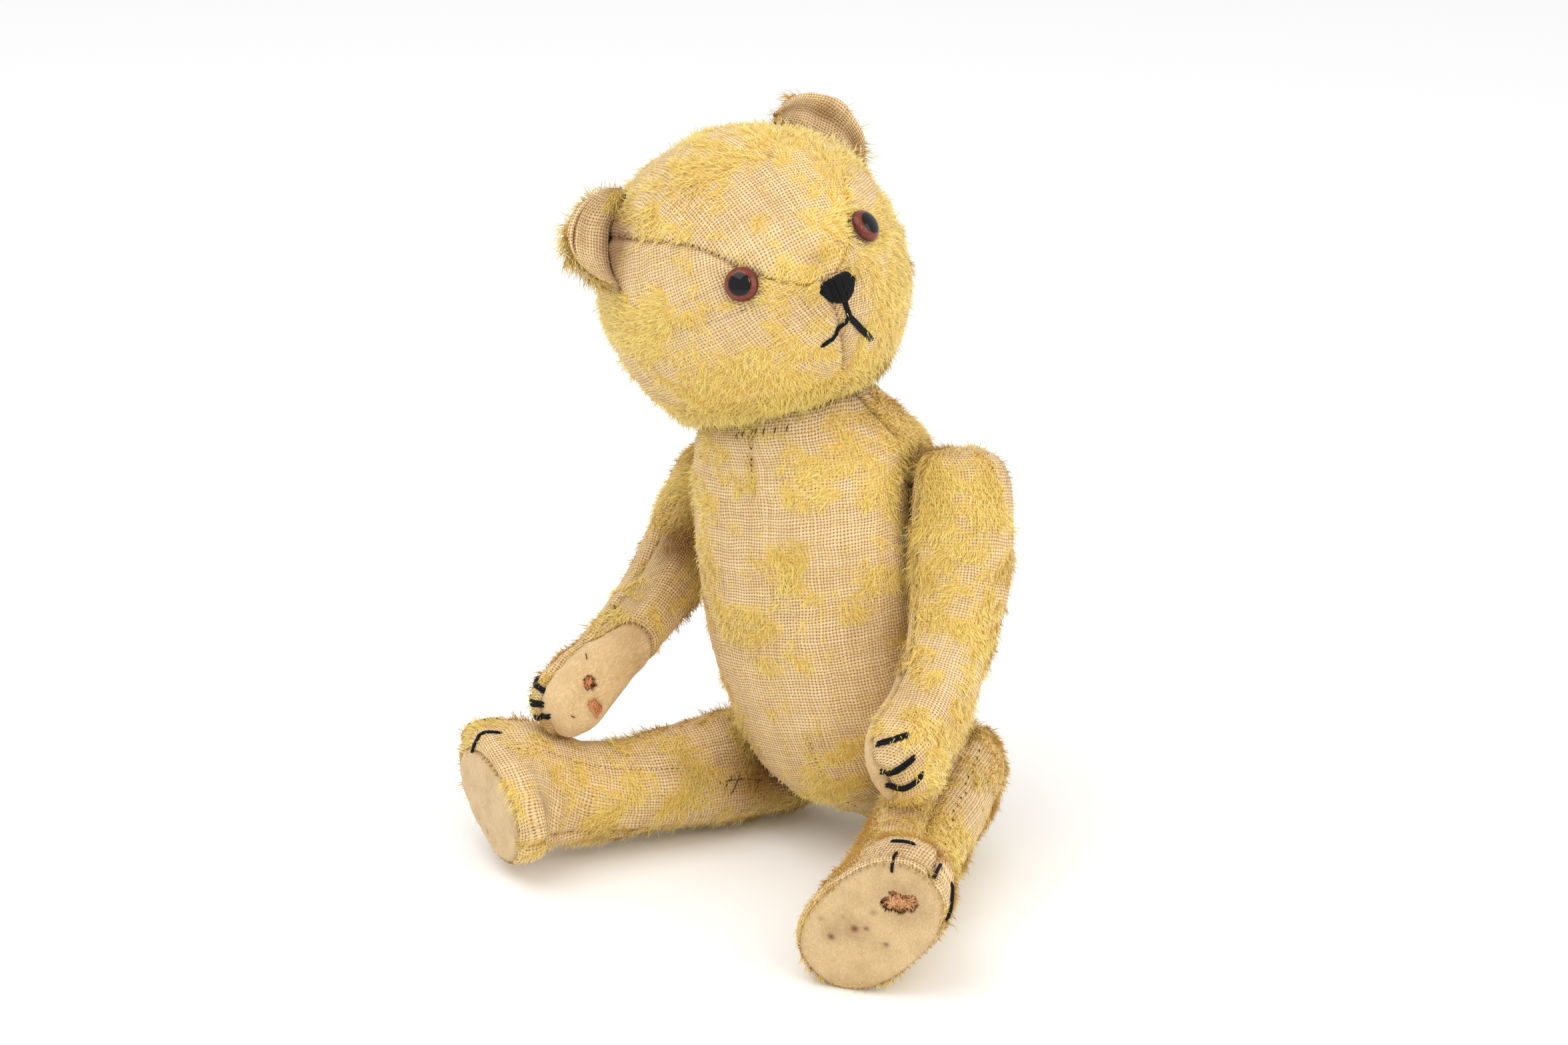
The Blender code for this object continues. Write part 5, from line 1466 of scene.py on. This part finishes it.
class BearSewing(bpy.types.Operator):
    """Seam stitches, the overcast edges of the felt, and old mends"""
    bl_idname = "bear.sewing"
    bl_label = "Sewing and mends"

    def execute(self, context):
        rng = np.random.default_rng(21)
        gusset = PANELS[HEAD_PARTS[0]]
        # the right seam has opened a little: pale threads cross it, and short dark dashes beside it are painted shade
        # in its needle holes
        right, left = (gusset.points[:, c] for c in (0, -1))
        right_n, left_n = (gusset.normals[:, c] for c in (0, -1))
        front = slice(0, 92)
        pale = stitched(right[front], right_n[front], 1.7, 0.9, 0.2, 0.35, rng, 0.8)
        pale += stitched(left[front], left_n[front], 2.2, 0.6, 0.2, 0.1, rng, 0.4)
        spun("head_seam_threads", pale, 0.13, "sewing", "head")
        beside = unit(np.gradient(gusset.points, axis=1)[front, 0]) * 0.9
        dark = stitched(right[front] + beside, right_n[front], 2.3, 0.28, 0.0, 0.16, rng, 0.7)
        dark += stitched(right[front] - beside, right_n[front], 2.3, 0.28, 0.0, 0.16, rng, 0.6)
        # painted shade: short dark dashes of mending thread stand for the needle holes
        spun("head_needle_hole_shade", dark, 0.33, "darning_and_hole_shade", "head")
        torso = surface_tree(["front_cloth", "back_cloth"])
        mends = []
        for dart in DARTS:
            line = flow_through(dart, 26)[1]
            on = laid_on(torso, line, 0.0)
            n = unit(on - TORSO_MIDDLE)
            mends += stitched(on, n, 1.9, 0.45, 0.8, 0.25, rng, 0.8)
        # the neck edge was drawn in with dark thread
        for x, y, z in ((-34, -45.5, 139.8), (-31.5, -45, 140.7), (-29.4, -44.6, 141.2), (-27, -44, 142),
                        (-24.5, -43.4, 142.6), (-21, -42.2, 143.4), (-17.5, -40.5, 144)):
            places = [(x, y, z + 1.2), (x + rng.normal(0, 0.3), y - 0.3, z), (x, y - 0.4, z - 1.3)]
            mends.append(long_stitch(torso, places, 0.3, 6))
        spun("torso_seam_threads", mends, 0.20, "darning_and_hole_shade", "torso")
        self.paws(rng)
        self.feet(rng)
        return {"FINISHED"}

    def paws(self, rng):
        for word in ("left", "right"):
            name = f"{word}_arm"
            felt = PANELS[f"{word}_paw_felt"]
            edges = []
            for edge in (0, (slice(None), 0), (slice(None), -1)):
                edges += stitched(felt.points[edge], felt.normals[edge], 2.4, 0.8, 0.3, 0.15, rng, 0.8)
            spun(f"{word}_paw_overcasting", edges, 0.14, "sewing", name)
            arm = surface_tree([f"{name}_outer_cloth", f"{name}_inner_cloth", f"{word}_paw_felt"])
            dots = stitched(felt.points[0], felt.normals[0], 2.6, 0.3, 0.0, 0.2, rng, 0.8)
            if word == "right":
                for start, end in (((-76, -57, 77), (-74.5, -58.5, 75)), ((-75, -60, 74), (-73, -61.5, 72.5)),
                                   ((-72, -76, 66), (-70.5, -77.5, 64.5)), ((-70, -88, 50), (-67, -88, 49))):
                    dots.append(long_stitch(arm, [start, np.add(start, end) / 2, end], 0.25, 6))
            spun(f"{word}_paw_mending", dots, 0.2, "darning_and_hole_shade", name)
            if word == "left":
                claws = [[(40.9, -74.6, 63.1), (45.0, -72.0, 64.1), (49.1, -68.9, 66.6)],
                         [(42.8, -75.4, 54.9), (47.5, -73.4, 56.8), (52.2, -70.3, 60.6)],
                         [(43.6, -73.6, 49.6), (48.5, -72.0, 50.6), (53.9, -68.4, 54.9)]]
            else:
                claws = [[(-84.0, -86.5, 58.5), (-80.5, -90.5, 57.6), (-76.0, -92.2, 57.4)],
                         [(-83.0, -89.0, 52.6), (-79.5, -92.8, 52.8), (-74.6, -93.8, 53.6)],
                         [(-81.0, -88.5, 47.2), (-77.5, -92.0, 48.6), (-72.8, -93.1, 50.4)]]
            claw_stitches(f"{word}_paw_claws", arm, claws, 0.55, 0.62, 0.56, name)

    def feet(self, rng):
        for word in ("left", "right"):
            name = f"{word}_leg"
            turn = np.linspace(0, 2 * math.pi, 181)
            rim = sole_surface(name, np.full(181, 1.0), turn)[0]
            outward = unit(rim - rim.mean(0)) * 0.8 + sole_surface(name, np.zeros(1), turn[:1])[1] * 0.6
            rim = rim + outward * 0.35
            rim[:, 2] = np.maximum(rim[:, 2], 0.5)
            edges = stitched(rim, outward, 2.7, 1.1, 0.35, 0.2, rng, 0.9)
            spun(f"{word}_sole_overcasting", edges, 0.15, "sewing", name)
            leg = surface_tree([f"{name}_outer_cloth", f"{name}_inner_cloth", f"{word}_sole_felt"])
            if word == "left":
                claws = [[(71.7, -110.9, 43.4), (70.9, -109, 45.6), (69.6, -105, 46.6)],
                         [(81.3, -103.6, 40.5), (80.2, -99, 41.8), (78.8, -95.6, 41.8)],
                         [(63.5, -99.5, 46.5), (67, -99, 47), (71.2, -98, 46.9)],
                         list(limb_spot(name, [100.5, 97, 92], [0.26, 0.20, 0.12]))]
                turns = np.linspace(0.06, 0.16, 22) + rng.normal(0, 0.012, 22)
                mends = [long_stitch(leg, list(limb_spot(name, [at, at + 0.9], [a, a + 0.012])), 0.3, 5)
                         for at, a in zip(np.linspace(4, 84, 22), turns)]
            else:
                claws = [[(-97.0, -106.5, 35.8), (-94, -106.8, 41.0), (-89.5, -104, 43.6), (-86.5, -101.5, 43.4)]]
                claws += [list(limb_spot(name, [100.5, 96, 91], [a, a - 0.01, a - 0.03])) for a in (1.85, 0.12, 0.42)]
                mends = [long_stitch(leg, line, 0.35, 8) for line in (
                    [(-36, -54, 21.5), (-31, -49, 22.6), (-24, -41, 22.2)],
                    [(-32.4, -51.5, 17.6), (-31.9, -46.5, 23.6)],
                    [(-28, -44, 15.6), (-29.2, -40, 22.8)], [(-34.5, -53, 19.8), (-33, -48.5, 23.8)])]
                # a ladder of pulled threads along the top of the leg
                mends += [long_stitch(leg, list(limb_spot(name, [at, at + 0.5], [1.5, 1.5])), 0.1, 4)
                          for at in np.linspace(42, 92, 30)]
            claw_stitches(f"{word}_foot_claws", leg, claws, 0.3, 0.55, 0.50, name)
            spun(f"{word}_leg_mending", mends, 0.18, "darning_and_hole_shade", name)


# ---------------------------------------------------------------- pile, works and stage

class BearMohair(bpy.types.Operator):
    """The mohair that is left, on every cloth panel"""
    bl_idname = "bear.pile"
    bl_label = "Pile"

    def execute(self, context):
        look = context.scene.bear_pile
        nose = head_spot(-11.0, 0.0)

        def down(p):
            return np.broadcast_to(np.array((0.0, 0.0, -1.0)), p.shape)

        def from_nose(p):
            return p - nose + np.array((0.0, 0.0, -25.0))
        head = [PANELS[name] for name in HEAD_PARTS]
        ears = [PANELS[f"{word}_ear_{layer}_cloth"] for word in ("left", "right") for layer in ("front", "back")]
        ruff = [copy.copy(panel) for panel in head]
        for panel in ruff:
            above = -((panel.points - HEAD_PLANES[0][0]) @ HEAD_PLANES[0][1])
            panel.pile = np.clip(1.2 - above / 5.5, 0, 1)
        # name, body, panels, way it is combed; strands to a square millimetre, seed, length, strays, lift in degrees
        sprout("torso_pile", "torso", [PANELS["front_cloth"], PANELS["back_cloth"]], down, look, 3.0, 11, 0.9, 0.09)
        sprout("head_pile", "head", head, from_nose, look, 2.35, 12, 1.0, 0.14)
        sprout("neck_ruff_pile", "head", ruff, down, look, 6.0, 14, 1.35, 0.0, 38.0)
        sprout("ear_pile", "head", ears, down, look, 5.0, 13, 1.6, 0.02, 34.0)
        for k, name in enumerate(LIMBS):
            along = np.array(LIMBS[name][1]) + (0.0, 0.0, -0.4)
            sprout(f"{name}_pile", name, [PANELS[f"{name}_{side}_cloth"] for side in ("outer", "inner")],
                   lambda p: np.broadcast_to(along, p.shape), look, 3.1, 20 + k, 1.0, 0.14)
        return {"FINISHED"}


class BearWorks(bpy.types.Operator):
    """Finishes for the hidden joint discs, washers, cotter pins and eye loops"""
    bl_idname = "bear.works"
    bl_label = "Joint works"

    def execute(self, context):
        for name, made in frame["nodes"].items():
            if made.hide_render:
                continue
            kind = "board" if "disc" in name else "wood_wool" if "stuffing" in name else "steel"
            for material_slot in made.material_slots:
                material_slot.material = finish(kind)
        return {"FINISHED"}


# the camera's aim in its own right and up, the width it takes in at the bear, and where that is measured from
CAMERA_ASIDE, CAMERA_UP, VIEW_WIDTH = -0.0202, 0.1037, 0.5168
ORIGIN_SHIFT = (-0.0047, -0.0255, 0.0)
# a full-frame camera's, in millimetres
SENSOR_WIDTH = 36.0


def softbox(name, place, target, size, power):
    """A rectangular light at a place, facing its target."""
    data = bpy.data.lights.new(name, "AREA")
    data.shape = "RECTANGLE"
    data.size, data.size_y = size
    data.energy = power
    made = bpy.data.objects.new(name, data)
    bpy.context.collection.objects.link(made)
    made.location = place
    made.rotation_euler = (Vector(target) - Vector(place)).to_track_quat("-Z", "Y").to_euler()
    return made


class BearStageSet(bpy.types.Operator):
    """Pale floor, soft studio light and the camera"""
    bl_idname = "bear.stage"
    bl_label = "Stage"

    def execute(self, context):
        look = context.scene.bear_stage
        bpy.ops.mesh.primitive_plane_add(size=12.0, location=(0, 0, -0.0002))
        floor = context.object
        floor.name = "floor"
        floor.data.materials.append(finish("paper"))
        world = bpy.data.worlds.new("white_studio")
        context.scene.world = world
        world.use_nodes = True
        fed(world.node_tree.nodes["Background"], {"Color": to_linear("#FFFFFF"), "Strength": look.daylight})
        a, e = look.azimuth, look.elevation
        right = Vector((math.cos(a), math.sin(a), 0))
        back = Vector((math.sin(a) * math.cos(e), -math.cos(a) * math.cos(e), math.sin(e)))
        up = back.cross(right)
        middle = right * CAMERA_ASIDE + up * CAMERA_UP + Vector(ORIGIN_SHIFT)
        key = softbox("key_softbox", middle + back * 0.7 + up * 1.0 - right * 0.5, middle, (1.3, 1.0), look.key_power)
        fill = softbox("fill_softbox", middle + back * 0.9 + right * 1.1 + up * 0.3, middle, (1.1, 1.1),
                       look.key_power * 0.8)
        softbox("window_strip", middle + back * 0.9 + right * 0.3 + up * 0.35, middle, (0.06, 0.3), 0.6)
        data = bpy.data.cameras.new("camera")
        data.sensor_width = SENSOR_WIDTH
        data.lens = SENSOR_WIDTH * look.distance / VIEW_WIDTH
        data.clip_end = 50.0
        camera = bpy.data.objects.new("camera", data)
        context.collection.objects.link(camera)
        camera.location = middle + back * look.distance
        camera.rotation_euler = Matrix((right, up, back)).transposed().to_euler()
        context.scene.camera = camera
        context.scene.view_settings.view_transform = "Standard"
        return {"FINISHED"}


class BearPanel(bpy.types.Panel):
    """Shows the bear's settings and the buttons that build its pieces, in the sidebar"""
    bl_idname = "VIEW3D_PT_bear"
    bl_label = "Threadbare bear"
    bl_space_type = "VIEW_3D"
    bl_region_type = "UI"
    bl_category = "Bear"

    def draw(self, context):
        for group in ("bear_cloth", "bear_pile", "bear_eyes", "bear_stage"):
            settings = getattr(context.scene, group)
            box = self.layout.box()
            for key in settings.bl_rna.properties.keys():
                if key not in ("rna_type", "name"):
                    box.prop(settings, key)
        for operator in OPERATORS:
            self.layout.operator(operator.bl_idname)


SETTINGS = {"bear_cloth": BearCloth, "bear_pile": BearPile, "bear_eyes": BearEyes, "bear_stage": BearStage}
OPERATORS = (BearTorso, BearHead, BearEars, BearEyePair, BearFace, BearArms, BearLegs, BearWoodWool, BearSewing,
             BearMohair, BearWorks, BearStageSet)


def register():
    for made in (*SETTINGS.values(), *OPERATORS, BearPanel):
        bpy.utils.register_class(made)
    for name, group in SETTINGS.items():
        setattr(bpy.types.Scene, name, PointerProperty(type=group))


def unregister():
    for name in SETTINGS:
        delattr(bpy.types.Scene, name)
    for made in reversed((*SETTINGS.values(), *OPERATORS, BearPanel)):
        bpy.utils.unregister_class(made)


def main():
    register()
    bpy.ops.bear.torso()
    bpy.ops.bear.head()
    bpy.ops.bear.ears()
    bpy.ops.bear.eyes()
    bpy.ops.bear.face()
    bpy.ops.bear.arms()
    bpy.ops.bear.legs()
    bpy.ops.bear.wood_wool()
    bpy.ops.bear.sewing()
    bpy.ops.bear.pile()
    bpy.ops.bear.works()
    bpy.ops.bear.stage()


if __name__ == "__main__":
    main()
